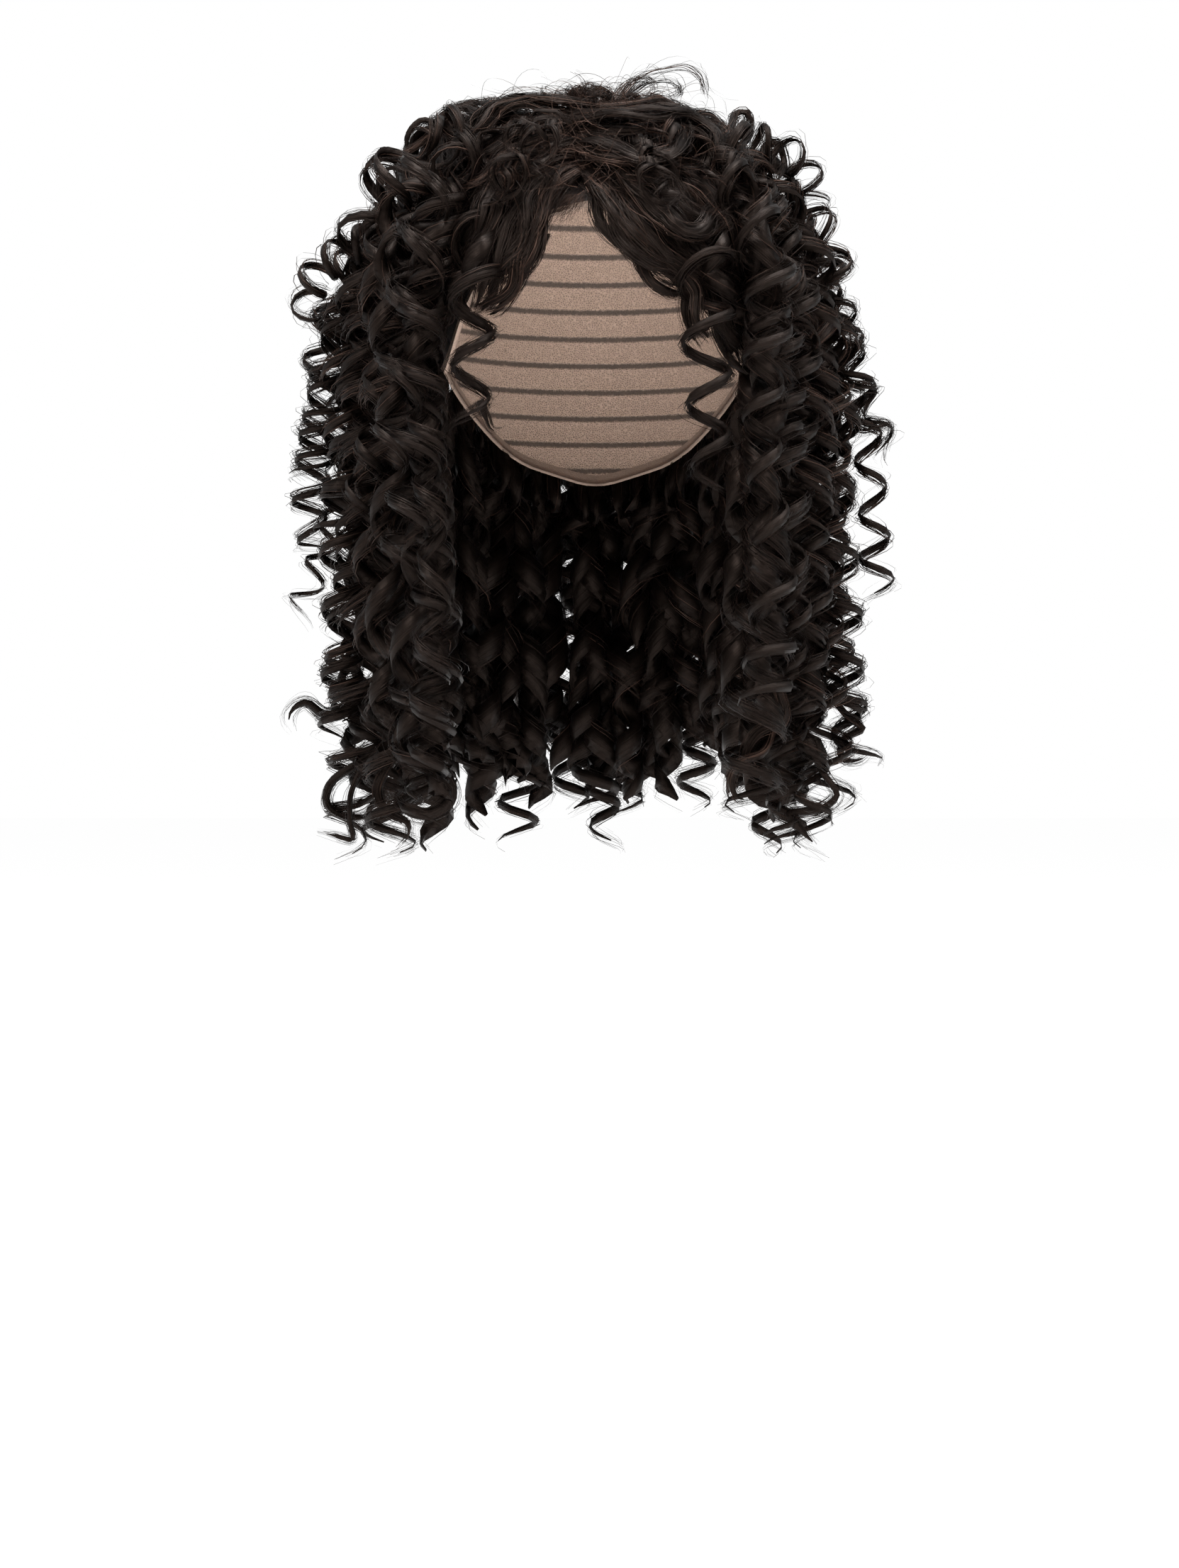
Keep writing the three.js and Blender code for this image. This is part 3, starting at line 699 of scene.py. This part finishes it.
def wander(rng, run, length_scale):
    """A slow random drift along each strand, in three directions."""
    strands = len(run)
    drift = np.zeros(run.shape + (3,))
    for wave in DRIFT_WAVES:
        turn = rng.uniform(0, FULL_TURN, (strands, 1, 3))
        rate = FULL_TURN * wave / length_scale * rng.uniform(*DRIFT_RATES, (strands, 1, 3))
        drift += np.sin(run[..., None] * rate + turn) / wave
    return drift


def bearings(rng, total, clumps):
    """Where the strands lie round the section of their lock: all round, or in clumps."""
    if not clumps:
        return rng.uniform(0, FULL_TURN, (total, 1))
    centres = rng.uniform(0, FULL_TURN, clumps)
    return (rng.choice(centres, total) + rng.normal(0, CLUMP_SPREAD, total))[:, None]


def draws(*numbers):
    """The random draws of one lock."""
    return np.random.default_rng([SEED, *numbers])


def drawn(rng, style):
    """The settings of one lock of a style, with values drawn for its tint and from its ranges."""
    settings = dict(style)
    for name, value in style.items():
        if isinstance(value, tuple):
            settings[name] = rng.normal(*value) if name == "tint" else rng.uniform(*value)
    return settings


def from_least(least, share):
    """A share from 0 to 1 as a factor from its least value to 1."""
    return least + (1 - least) * share


def wind(axis, rng, radius, pitch, curl_full, swing, tip_taper, breathing, hook, hand, turn):
    """How a lock winds round its axis, or with a swing, in radians, waves from side to side over the head.

    Gives, for each step: the length from the root, the share of the curl, the path, and the directions of
    the lock's width and face.
    """
    either = 1 if rng.random() < 0.5 else -1
    steps = int(axis.length / pitch * PATH_SEGMENTS) + PATH_SPARE
    run = np.linspace(0, axis.length, steps + 1)
    left = axis.length - run
    grown = smoothstep(run, CURL_FROM, min(curl_full, CURL_SHARE * axis.length))
    breath = breathing * np.sin(run / rng.uniform(*BREATH_LENGTH) + rng.uniform(0, FULL_TURN))
    wound = run - ROOT_STRAIGHT * (1 - np.exp(-run / ROOT_STRAIGHT))
    turned = FULL_TURN * (wound / pitch + hook * smoothstep(left, HOOK_LENGTH, 0)) + breath * grown
    if swing is None:
        angle = turn + (hand or either) * turned
    else:
        angle = swing * np.sin(turned + rng.uniform(0, FULL_TURN))
    swell = 1 + SWELL * np.sin(run / rng.uniform(*SWELL_LENGTH) + rng.uniform(0, FULL_TURN))
    size = radius * swell * from_least(rng.uniform(*END_SIZE), smoothstep(left, 0, tip_taper))
    place = run / axis.length
    normal = sample(axis.normals, place)
    binormal = sample(axis.binormals, place)
    away = normal * np.cos(angle)[:, None] + binormal * np.sin(angle)[:, None]
    path = sample(axis.points, place) + away * (size * grown)[:, None]
    ahead = unit(np.gradient(path, axis=0))
    wide = unit(np.cross(ahead, away if swing is None else normal))
    return run, grown, path, wide, np.cross(wide, ahead)


def lock(hair, axis, rng, radius, pitch, band, thickness, strands=OUTER_STRANDS, loose=3, tint=0.3,
         curl_full=55.0, root_band=1.3, core=0.8, swing=None, tip_taper=TIP_TAPER, breathing=0.5, hook=0.0,
         clumps=0, detail=STRAND_SEGMENTS, hand=None, turn=0.0):
    """Adds one lock: a band of hair round its axis, its strands, and a few loose ones."""
    length = axis.length
    run, grown, path, wide, face = wind(
        axis, rng, radius, pitch, curl_full, swing, tip_taper, breathing, hook, hand, turn)
    half_band = band / 2 * from_least(root_band, smoothstep(run, 0, GATHERED))
    half_thick = thickness / 2
    if core:
        steps = len(run) - 1
        kept = slice(0, steps - int(rng.uniform(*CORE_SHORT) / length * steps), BAND_EVERY)
        taper = core * from_least(CORE_TIP, smoothstep(run[kept][-1] - run[kept], -CORE_BLUNT, tip_taper))
        hair.add_band(path[kept], wide[kept] * (half_band[kept] * taper)[:, None],
                      face[kept] * (half_thick * taper)[:, None], CORE_SHADE * tint)

    total = strands + loose
    is_loose = (np.arange(total) >= strands)[:, None]
    bearing = bearings(rng, total, clumps)
    ends = 1 - np.minimum(rng.uniform(*STRAND_SHORT, (total, 1)) / length, SHORTEST)
    strand_steps = int((length / pitch + hook) * detail) + STRAND_SPARE
    along = np.linspace(0, 1, strand_steps + 1)[None] * ends
    beside = np.cos(bearing) * rng.uniform(*BESIDE, (total, 1))
    above = np.sin(bearing) * rng.uniform(*ABOVE, (total, 1))
    strand_wide = sample(wide, along)
    strand_face = sample(face, along)
    taper = smoothstep(length - run, -STRAND_BLUNT, tip_taper)
    taper_here, band_here, grown_here = (
        sample(values[:, None], along)[..., 0] for values in (taper, half_band, grown))
    sideways = band_here * from_least(BAND_TIP, taper_here) * beside
    lifted = half_thick * above * from_least(LIFT_TIP, taper_here)
    lifted = lifted + is_loose * rng.uniform(*LOOSE_LIFT, (total, 1)) * grown_here * taper_here
    distance = along * length
    drift = np.where(is_loose, LOOSE_DRIFT, STRAND_DRIFT) * smoothstep(distance, *DRIFT_GROWS)
    paths = sample(path, along) + strand_wide * sideways[..., None] + strand_face * lifted[..., None]
    paths = paths + wander(rng, distance, DRIFT_LENGTH) * drift[..., None]
    tilted = strand_face * np.cos(bearing)[..., None] * STRAND_TILT
    across = unit(tilted - strand_wide * np.sin(bearing)[..., None])
    narrowed = from_least(STRAND_TIP, smoothstep((1 - along / ends) * length, 0, STRAND_TAPER))
    base_width = np.where(is_loose, LOOSE_WIDTH, STRAND_WIDTH)
    widths = base_width * rng.uniform(*WIDTH_RANGE, (total, 1)) * narrowed
    tints = tint + rng.normal(*STRAND_TINT, total)
    hair.add_strands(paths, across, widths, tints, np.cos(bearing[:, 0]))


def section_of(azimuth, polar):
    """Name of the piece that a lock rooted at two angles belongs to."""
    turned = abs(signed(azimuth))
    side = side_name(signed(azimuth))
    share = polar / edge_polar(azimuth)
    if polar < CROWN_POLAR:
        return "crown_front_strands" if turned < 90 else "crown_back_strands"
    if turned < FRINGE_AZIMUTH:
        return f"fringe_strands_{side}"
    if turned < FACE_AZIMUTH:
        return f"face_curl_strands_{side}"
    if turned < SIDE_AZIMUTH:
        return f"side_strands_{side}"
    if share > NAPE_SHARE:
        return "nape_strands"
    return "back_lower_strands" if share > BACK_SHARE else "back_upper_strands"


def side_name(value):
    """The wearer's side that a positive or negative x or azimuth lies on."""
    return "left" if value > 0 else "right"


hairs = {name: Hair() for name in PIECES}


def hang_rows():
    """All the locks that hang round the head, row by row."""
    for number, (start, count, root, lift, sh_reach, sh_z, tip_reach, tip_z, waves) in enumerate(ROWS):
        for i in range(count):
            rng = draws(number, i)
            azimuth = start + (360 - 2 * start) * (i + rng.uniform(-UNEVEN, UNEVEN)) / (count - 1)
            polar = root * edge_polar(azimuth)
            turn = rng.normal(0, TURN_SPREAD)
            shift = rng.normal(0, SHIFT_SPREAD) - LEAN * math.sin(math.radians(azimuth))
            top = skull(azimuth, polar, CAP_WALL + ROOT_CLEARANCE)
            tilt = CROWN_TILT * math.sin(math.radians(azimuth)) if root < CROWN_ROOT else 0
            highest = top[2] - SHOULDER_DROP if root > CROWN_ROOT else sh_z + SHOULDER_RISE
            shoulder = min(sh_z - tilt + rng.normal(0, SHOULDER_SPREAD), highest)
            tip = max(tip_z + rng.normal(0, TIP_SPREAD if root > TOP_ROOT else TOP_SPREAD), LOWEST_TIP)
            lifted = lift - 0.5 * tilt + rng.normal(0, LIFT_SPREAD)
            points = [
                top,
                skull(azimuth + 0.2 * turn, polar + LIFT_POLAR, lifted),
                standing(azimuth + 0.6 * turn, sh_reach + shift, shoulder),
            ]
            for part in (0.35, 0.7, 1.0):
                reach = sh_reach + (tip_reach - sh_reach) * part + shift + rng.normal(0, REACH_SPREAD)
                bearing = azimuth + turn + rng.normal(0, BEARING_SPREAD)
                points.append(standing(bearing, reach, shoulder + (tip - shoulder) * part))
            tint = rng.normal(*ROW_TINT)
            style = drawn(rng, WAVE if rng.random() < waves else RING)
            style["strands"] = BACK_STRANDS if abs(signed(azimuth)) > SIDE_AZIMUTH else OUTER_STRANDS
            if root > INNER_ROOT:
                style.update(INNER)
                style["band"] *= INNER_WIDER
            lock(hairs[section_of(azimuth, polar)], Axis(points), rng, tint=tint, loose=ROW_LOOSE, **style)


def under_rows():
    """The under layer of flat waves that hides the cap."""
    for number, (root, end, count) in enumerate(UNDER_ROWS):
        for i in range(count):
            rng = draws(DRAWS["under"] + number, i)
            azimuth = 360 * (i + rng.uniform(-UNEVEN, UNEVEN)) / count
            edge = edge_polar(azimuth)
            swing = rng.normal(0, UNDER_SWING)
            points = [skull(azimuth + bend * swing, (root + part * (end - root)) * edge, offset)
                      for part, bend, offset in UNDER_COURSE]
            lock(hairs[section_of(azimuth, root * edge)], Axis(points), rng, **drawn(rng, UNDER))


def shaped_locks():
    """The fringe and the front of the crown: the locks that are listed one by one, and copies beside each.
    """
    for number, (name, guides) in enumerate(SHAPED_LOCKS.items()):
        for i, (band, loose, places) in enumerate(guides):
            for copy in range(COPIES + 1):
                rng = draws(DRAWS["shaped"], number, i, copy)
                slip = rng.normal(0, SLIP, 3) if copy else np.zeros(3)
                depth = COPY_DEPTH * copy / COPIES
                points = [seen(x, z, max(offset - depth, ROOT_CLEARANCE)) for x, z, offset in places]
                points = [point + slip + rng.normal(0, SHAPED_SPREAD, 3) for point in points]
                lock(hairs[name], Axis(points), rng, band=band, loose=loose, **drawn(rng, SHAPED),
                     strands=COPY_STRANDS if copy else SHAPED_STRANDS)


def thin_loops():
    """Narrow locks that stand up from the crown, and loops of a few strands above it."""
    crown = hairs["crown_front_strands"]
    for i, (band, loose, places) in enumerate(CROWN_LOOPS):
        axis = Axis([seen(*place) for place in places])
        rng = draws(DRAWS["crown_loops"], i)
        lock(crown, axis, rng, band=band, thickness=0.5 * band, loose=loose, **CROWN_LOOP)
    for i, places in enumerate(LOOPS):
        lock(crown, Axis([seen(*place) for place in places]), draws(DRAWS["loops"], i), **LOOP)


def lying(rng, start, length, rise, sink):
    """A short axis that starts at a point over the cap and lies along it in any direction, first rising a
    little and then sinking again, both as shares of its length.
    """
    outward = unit(start - HEAD_CENTRE)
    sideways = unit(np.cross(outward, rng.normal(0, 1, 3)))
    middle = start + length * (rise * outward + LYING_HALF * sideways)
    end = middle + length * (rng.uniform(*sink) * outward + LYING_HALF * sideways)
    return Axis([start, middle, end])


def frizz():
    """Short fine hairs over the front of the crown, lying every way."""
    for i in range(FRIZZ_HAIRS):
        rng = draws(DRAWS["frizz"], i)
        start = seen(*(rng.uniform(*limits) for limits in FRIZZ_START))
        name = "crown_front_strands"
        if start[2] <= FRIZZ_FRINGE_Z:
            name = f"fringe_strands_{side_name(start[0])}"
        axis = lying(rng, start, rng.uniform(*FRIZZ_LENGTHS), *CROWN_LYING)
        lock(hairs[name], axis, rng, **drawn(rng, FRIZZ))


def tousled_curls():
    """Loose curls that lie every way over the crown."""
    for i in range(TOUSLED_CURLS):
        rng = draws(DRAWS["tousled"], i)
        azimuth = rng.uniform(-180, 180)
        polar = rng.uniform(TOUSLED_FROM, CROWN_POLAR)
        start = skull(azimuth, polar, rng.uniform(*TOUSLED_OFFSETS))
        axis = lying(rng, start, rng.uniform(*TOUSLED_LENGTHS), *CROWN_LYING)
        lock(hairs[section_of(azimuth, polar)], axis, rng, **drawn(rng, TOUSLED))


def curlets():
    """Small ringlets that lie over the front of the crown."""
    for i in range(CURLETS):
        rng = draws(DRAWS["curlets"], i)
        side = 1 if i % 2 else -1
        x, z, offset = (rng.uniform(*limits) for limits in CURLET_START)
        out, down = (rng.uniform(*limits) for limits in CURLET_REACH)
        points = [seen(side * (x + part * out), z - part * down, offset + CURLET_LIFT * part)
                  for part in (0, 0.5, 1)]
        lock(hairs["crown_front_strands"], Axis(points), rng, **drawn(rng, CURLET))


def tuft():
    """The tuft of frizzy ends that stands up over the middle of the crown."""
    base = seen(*TUFT_PLACE)
    for i in range(TUFT_LOCKS):
        rng = draws(DRAWS["tuft"], i)
        start = base + rng.normal(0, 1, 3) * np.array(TUFT_SPREAD)
        rise = np.array([rng.normal(0, 6), rng.normal(-2, 6), rng.uniform(*TUFT_RISE)])
        bend = start + 0.5 * rise + rng.normal(0, 2, 3)
        lock(hairs["crown_front_strands"], Axis([start, bend, start + rise]), rng, **drawn(rng, TUFT))


def temple_locks():
    """Locks that hang between the fringe and the sides."""
    for i, row in enumerate(TEMPLE):
        azimuth, polar, lift, sh_a, sh_reach, sh_z, tip_a, tip_reach, tip_z, waves, sides = row
        for side in sides:
            rng = draws(DRAWS["temple"], i, side + 1)
            points = [
                skull(side * azimuth, polar, CAP_WALL + SINGLE_CLEARANCE),
                skull(side * azimuth, polar + 10, lift),
                standing(side * sh_a, sh_reach, sh_z),
                standing(side * tip_a, tip_reach, tip_z + rng.normal(0, TEMPLE_SPREAD)),
            ]
            tint = rng.normal(*TEMPLE_TINT)
            style = drawn(rng, WAVE if rng.random() < waves else RING)
            lock(hairs[section_of(side * azimuth, polar)], Axis(points), rng, tint=tint, **style)


def stray_locks():
    """The single locks that stand out of the outline."""
    for i, ((azimuth, root), passes, radius, pitch, band) in enumerate(STRAYS):
        rng = draws(DRAWS["strays"], i)
        polar = root * edge_polar(azimuth)
        points = [
            skull(azimuth, polar, CAP_WALL + SINGLE_CLEARANCE),
            skull(azimuth, polar + 10, STRAY_LIFT),
            *(standing(*place) for place in passes),
        ]
        name = section_of(azimuth, polar)
        lock(hairs[name], Axis(points), rng, radius, pitch, band, 0.4 * band, **drawn(rng, STRAY))


def hem_curls():
    """The single curls at the hem of the sides."""
    for i, (name, band, thickness, points) in enumerate(HEM_CURLS):
        rng = draws(DRAWS["hem"], i)
        lock(hairs[name], Axis(points), rng, band=band, thickness=thickness, **drawn(rng, HEM))


def face_curls():
    """The thin ringlets in front of the cheeks."""
    for row in FACE_CURLS:
        side, azimuth, polar, lift, sh_a, sh_reach, sh_z, tip_a, tip_reach, tip_z, radius, pitch, turn = row
        points = [
            skull(side * azimuth, polar, CAP_WALL + SINGLE_CLEARANCE),
            skull(side * azimuth, polar + 8, lift),
            standing(side * sh_a, sh_reach, sh_z),
            standing(side * tip_a, tip_reach, tip_z),
        ]
        rng = draws(DRAWS["face"], side + 1)
        name = f"face_curl_strands_{side_name(side)}"
        lock(hairs[name], Axis(points), rng, radius, pitch, turn=math.radians(turn), **FACE)


def flyaways():
    """Fine loose hairs that stand off the mass all round."""
    for i in range(FLYAWAYS):
        rng = draws(DRAWS["flyaways"], i)
        azimuth = rng.uniform(-180, 180)
        share = math.sqrt(rng.uniform(*FLYAWAY_SHARES))
        if abs(azimuth) < FACE_AZIMUTH:
            share = FLYAWAY_FRONT * share
        polar = share * edge_polar(azimuth)
        start = skull(azimuth, polar, rng.uniform(*FLYAWAY_OFFSETS))
        axis = lying(rng, start, rng.uniform(*FLYAWAY_LENGTHS), *FLYAWAY_LYING)
        lock(hairs[section_of(azimuth, polar)], axis, rng, **drawn(rng, FLYAWAY))


def baby_hairs():
    """Short fine hairs along the front hairline, most of all at the parting."""
    for i in range(BABY_HAIRS):
        rng = draws(DRAWS["baby"], i)
        at_parting = i < PARTING_HAIRS
        azimuth = rng.uniform(*PARTING if at_parting else (-FRINGE_AZIMUTH, FRINGE_AZIMUTH))
        side = 1 if azimuth > PARTING_MIDDLE else -1
        polar = edge_polar(azimuth) - rng.uniform(0, PARTING_DEPTH if at_parting else HAIRLINE_DEPTH)
        swing = side * rng.uniform(*BABY_SWING)
        drop = rng.uniform(*BABY_DROP)
        start = skull(azimuth, polar, rng.uniform(1, 5))
        middle = brow(azimuth + 0.5 * swing, start[2] - 0.6 * drop, rng.uniform(2, 7))
        end = brow(azimuth + swing, start[2] - drop, rng.uniform(1, 6))
        name = f"fringe_strands_{side_name(side)}"
        lock(hairs[name], Axis([start, middle, end]), rng, **drawn(rng, BABY))


def new_material(name):
    """A material with its node tree and its shader."""
    material = bpy.data.materials.new(name)
    material.use_nodes = True
    return material, material.node_tree, material.node_tree.nodes["Principled BSDF"]


def feed(tree, node, values=None, links=None):
    """Sets values on a node's sockets, and links other nodes' outputs to them."""
    for socket, value in (values or {}).items():
        node.inputs[socket].default_value = value
    for socket, output in (links or {}).items():
        tree.links.new(output, node.inputs[socket])


def add_node(tree, kind, values=None, links=None):
    node = tree.nodes.new(f"ShaderNode{kind}")
    feed(tree, node, values, links)
    return node


def add_math(tree, operation, factor, links):
    node = add_node(tree, "Math")
    node.operation = operation
    feed(tree, node, {1: factor}, links)
    return node.outputs["Value"]


def add_ramp(tree, factor, first, last, middle=()):
    """A colour ramp from its first stop to its last, each a place and a colour, with stops between."""
    ramp = add_node(tree, "ValToRGB", links={"Fac": factor})
    stops = ramp.color_ramp.elements
    for stop, (place, colour) in zip(stops, (first, last)):
        stop.position = place
        stop.color = (*colour, 1)
    for place, colour in middle:
        stops.new(place).color = (*colour, 1)
    return ramp.outputs["Color"]


def add_bump(tree, height, strength, distance):
    bump = add_node(tree, "Bump", {"Strength": strength, "Distance": distance}, {"Height": height})
    return bump.outputs["Normal"]


def hair_material():
    """Dark brown fibre: each lock has a tint, with painted shade that darkens it to its tip, fine streaks
    and a soft gloss.
    """
    material, tree, shader = new_material("hair_fibre")
    uv = add_node(tree, "UVMap")
    uv.uv_map = "OFBake"
    stretch = add_node(tree, "Mapping", {"Scale": STREAK_SCALE}, {"Vector": uv.outputs["UV"]})
    streak = add_node(tree, "TexNoise", {"Scale": 1.0, "Detail": 3.0, "Roughness": 0.65},
                      {"Vector": stretch.outputs["Vector"]}).outputs["Fac"]
    parts = add_node(tree, "SeparateXYZ", links={"Vector": uv.outputs["UV"]})
    tint = add_math(tree, "MULTIPLY", TINT_SHARE, {0: parts.outputs["X"]})
    mix = add_math(tree, "MULTIPLY_ADD", STREAK_SHARE, {0: streak, 2: tint})
    # Painted shade: darker towards the tip of each lock.
    painted_tip_shade = add_math(tree, "MULTIPLY_ADD", TIP_PAINTED_SHADE, {0: parts.outputs["Y"], 2: mix})
    rough = add_node(tree, "MapRange", {"To Min": HAIR_SMOOTH, "To Max": HAIR_ROUGH}, {"Value": streak})
    tangent = add_node(tree, "Tangent")
    tangent.direction_type = "UV_MAP"
    tangent.uv_map = "OFBake"
    feed(tree, shader, {
        "Specular IOR Level": HAIR_GLOSS,
        "Specular Tint": HAIR_GLOSS_TINT,
        "Anisotropic": HAIR_ANISOTROPY,
    }, {
        "Base Color": add_ramp(tree, painted_tip_shade, *HAIR_COLOURS),
        "Roughness": rough.outputs["Result"],
        "Normal": add_bump(tree, streak, *HAIR_BUMP),
        "Tangent": tangent.outputs["Tangent"],
    })
    return material


def cap_material(name, colour, shade):
    """Net with the stitched rows of the wefts across it."""
    material, tree, shader = new_material(name)
    place = {"Vector": add_node(tree, "TexCoord").outputs["Object"]}
    net = add_node(tree, "TexVoronoi", {"Scale": NET_SCALE}, place)
    net.feature = "DISTANCE_TO_EDGE"
    threads = add_node(tree, "MapRange", NET_THREADS, {"Value": net.outputs["Distance"]})
    rows = add_node(tree, "TexWave", {"Scale": WEFT_WAVES, "Distortion": 0.0}, place)
    rows.bands_direction = "Z"
    stitches = add_node(tree, "TexNoise", {"Scale": STITCH_SCALE}, place).outputs["Fac"]
    ragged = add_math(tree, "MULTIPLY_ADD", STITCH_SHARE, {0: stitches, 2: rows.outputs["Fac"]})
    weft = add_node(tree, "MapRange", WEFT_SHADE, {"Value": ragged})
    both = add_node(tree, "Math", links={0: threads.outputs["Result"], 1: weft.outputs["Result"]})
    both.operation = "MULTIPLY"
    height = both.outputs["Value"]
    feed(tree, shader, {"Roughness": NET_ROUGHNESS}, {
        "Base Color": add_ramp(tree, height, (0, shade), (1, colour)),
        "Normal": add_bump(tree, height, *NET_BUMP),
    })
    return material


def tape_material():
    """The woven tape that edges the cap."""
    material, tree, shader = new_material("cap_tape")
    place = {"Vector": add_node(tree, "TexCoord").outputs["Object"]}
    weave = add_node(tree, "TexNoise", {"Scale": TAPE_SCALE, "Detail": 2.0}, place).outputs["Fac"]
    dark = tuple(0.5 * part for part in TAPE_COLOUR)
    feed(tree, shader, {"Roughness": TAPE_ROUGHNESS}, {
        "Base Color": add_ramp(tree, weave, (0, dark), (1, TAPE_COLOUR)),
        "Normal": add_bump(tree, weave, *TAPE_BUMP),
    })
    return material


def cap_edges(azimuths):
    """Polar angles of the cap's edge, with the corners of its outline rounded."""
    shifts = np.linspace(-EDGE_SMOOTHING, EDGE_SMOOTHING, EDGE_SAMPLES)
    return np.array([np.mean([edge_polar(azimuth + shift) for shift in shifts]) for azimuth in azimuths])


def add_cap():
    """The cap: a thin shell with rows of wefts on its inside and a tape round its edge."""
    azimuths = np.linspace(0, 360, CAP_ROUND, endpoint=False)
    edges = cap_edges(azimuths)
    shares = np.linspace(0, 1, CAP_DOWN + 1)[1:]
    turned = np.broadcast_to(azimuths, (CAP_DOWN, CAP_ROUND))
    polars = shares[:, None] * edges
    heights = skull(turned, polars, 0 * polars)[..., 2]
    to_edge = np.radians(edges - polars) * HEAD_HALF[2]
    on_tape = smoothstep(to_edge, TAPE_WIDTH, TAPE_WIDTH - 1)
    ridge = np.clip((np.cos(FULL_TURN * heights / WEFT_STEP) - 1 + WEFT_SHARE) / WEFT_SHARE, 0, 1)
    inside = WEFT_RIDGE * (1 - np.maximum(ridge, on_tape))
    outside = CAP_WALL + TAPE_ROUND * on_tape
    grid = np.stack([skull(turned, polars, inside), skull(turned, polars, outside)])
    tops = np.array([skull(0.0, 0.0, WEFT_RIDGE), skull(0.0, 0.0, CAP_WALL)])
    points = np.vstack([grid.reshape(-1, 3), tops]) * MM
    index = np.arange(2 * CAP_DOWN * CAP_ROUND).reshape(2, CAP_DOWN, CAP_ROUND)
    beside = np.roll(index, -1, axis=2)
    tape_rows = int(round(CAP_DOWN * TAPE_WIDTH / to_edge.max()))
    faces = []
    kinds = []
    for side in (INSIDE, OUTSIDE):
        quads = np.stack([index[side, :-1], index[side, 1:], beside[side, 1:], beside[side, :-1]], axis=-1)
        top = np.full(CAP_ROUND, len(points) - 2 + side)
        fan = np.stack([beside[side, 0], top, index[side, 0]], axis=-1)
        if side == INSIDE:
            quads = quads[..., ::-1]
            fan = fan[..., ::-1]
        row_kinds = np.full(CAP_DOWN - 1, side)
        row_kinds[-tape_rows:] = TAPE
        faces += quads.reshape(-1, 4).tolist() + fan.tolist()
        kinds += np.repeat(row_kinds, CAP_ROUND).tolist() + [side] * CAP_ROUND
    rim = [index[INSIDE, -1], beside[INSIDE, -1], beside[OUTSIDE, -1], index[OUTSIDE, -1]]
    faces += np.stack(rim[::-1], axis=-1).tolist()
    kinds += [TAPE] * CAP_ROUND
    mesh = bpy.data.meshes.new("cap_shell")
    mesh.from_pydata(points.tolist(), [], faces)
    mesh.materials.append(cap_material("cap_net", NET_COLOUR, NET_SHADE))
    mesh.materials.append(cap_material("cap_backing", BACKING_COLOUR, BACKING_SHADE))
    mesh.materials.append(tape_material())
    mesh.polygons.foreach_set("material_index", kinds)
    mesh.polygons.foreach_set("use_smooth", np.ones(len(faces), dtype=bool))
    mesh.validate()
    piece = bpy.data.objects.new("cap_shell", mesh)
    bpy.context.scene.collection.objects.link(piece)
    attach(piece, "root")
    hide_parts("wig_cap")


def add_camera():
    """The camera that sees the wig as the photograph does."""
    centre_x = (PHOTO_WIDTH / 2 - ORIGIN_PIXEL[0]) / PIXELS_PER_MM
    centre_z = -(PHOTO_HEIGHT / 2 - ORIGIN_PIXEL[1]) / PIXELS_PER_MM
    data = bpy.data.cameras.new("camera")
    data.sensor_fit = "VERTICAL"
    data.sensor_height = SENSOR_HEIGHT
    data.lens = SENSOR_HEIGHT * CAMERA_DISTANCE / (PHOTO_HEIGHT / PIXELS_PER_MM)
    camera = bpy.data.objects.new("camera", data)
    camera.location = (centre_x * MM, -CAMERA_DISTANCE * MM, centre_z * MM)
    camera.rotation_euler = (math.pi / 2, 0, 0)
    bpy.context.scene.collection.objects.link(camera)
    bpy.context.scene.camera = camera


def add_floor():
    """A pale floor without end."""
    mesh = bpy.data.meshes.new("floor")
    corners = [(-1, -1), (1, -1), (1, 1), (-1, 1)]
    mesh.from_pydata([(x * FLOOR_HALF, y * FLOOR_HALF, FLOOR_Z) for x, y in corners], [], [(0, 1, 2, 3)])
    floor = bpy.data.objects.new("floor", mesh)
    bpy.context.scene.collection.objects.link(floor)
    material, tree, shader = new_material("floor_white")
    looks = {"Base Color": FLOOR_COLOUR, "Roughness": FLOOR_ROUGHNESS, "Specular IOR Level": 0.0}
    feed(tree, shader, looks)
    mesh.materials.append(material)


def add_lights():
    """A white sky and soft lights."""
    world = bpy.data.worlds.new("studio")
    bpy.context.scene.world = world
    world.use_nodes = True
    world.node_tree.nodes["Background"].inputs["Color"].default_value = (1, 1, 1, 1)
    world.node_tree.nodes["Background"].inputs["Strength"].default_value = SKY_STRENGTH
    for name, place, size, power in LIGHTS:
        data = bpy.data.lights.new(name, "AREA")
        data.shape = "DISK"
        data.size = size
        data.energy = power
        light = bpy.data.objects.new(name, data)
        light.location = place
        toward = LIGHTS_AIM - np.array(place)
        tilt = math.atan2(math.hypot(toward[0], toward[1]), -toward[2])
        light.rotation_euler = (tilt, 0, math.atan2(-toward[0], toward[1]))
        bpy.context.scene.collection.objects.link(light)
    bpy.context.scene.view_settings.view_transform = "Standard"


add_camera()
add_floor()
add_lights()
hang_rows()
under_rows()
shaped_locks()
thin_loops()
frizz()
tousled_curls()
curlets()
tuft()
temple_locks()
stray_locks()
hem_curls()
face_curls()
flyaways()
baby_hairs()
fibre = hair_material()
for piece_name, node_name in PIECES.items():
    hairs[piece_name].make(piece_name, node_name, fibre)
add_cap()
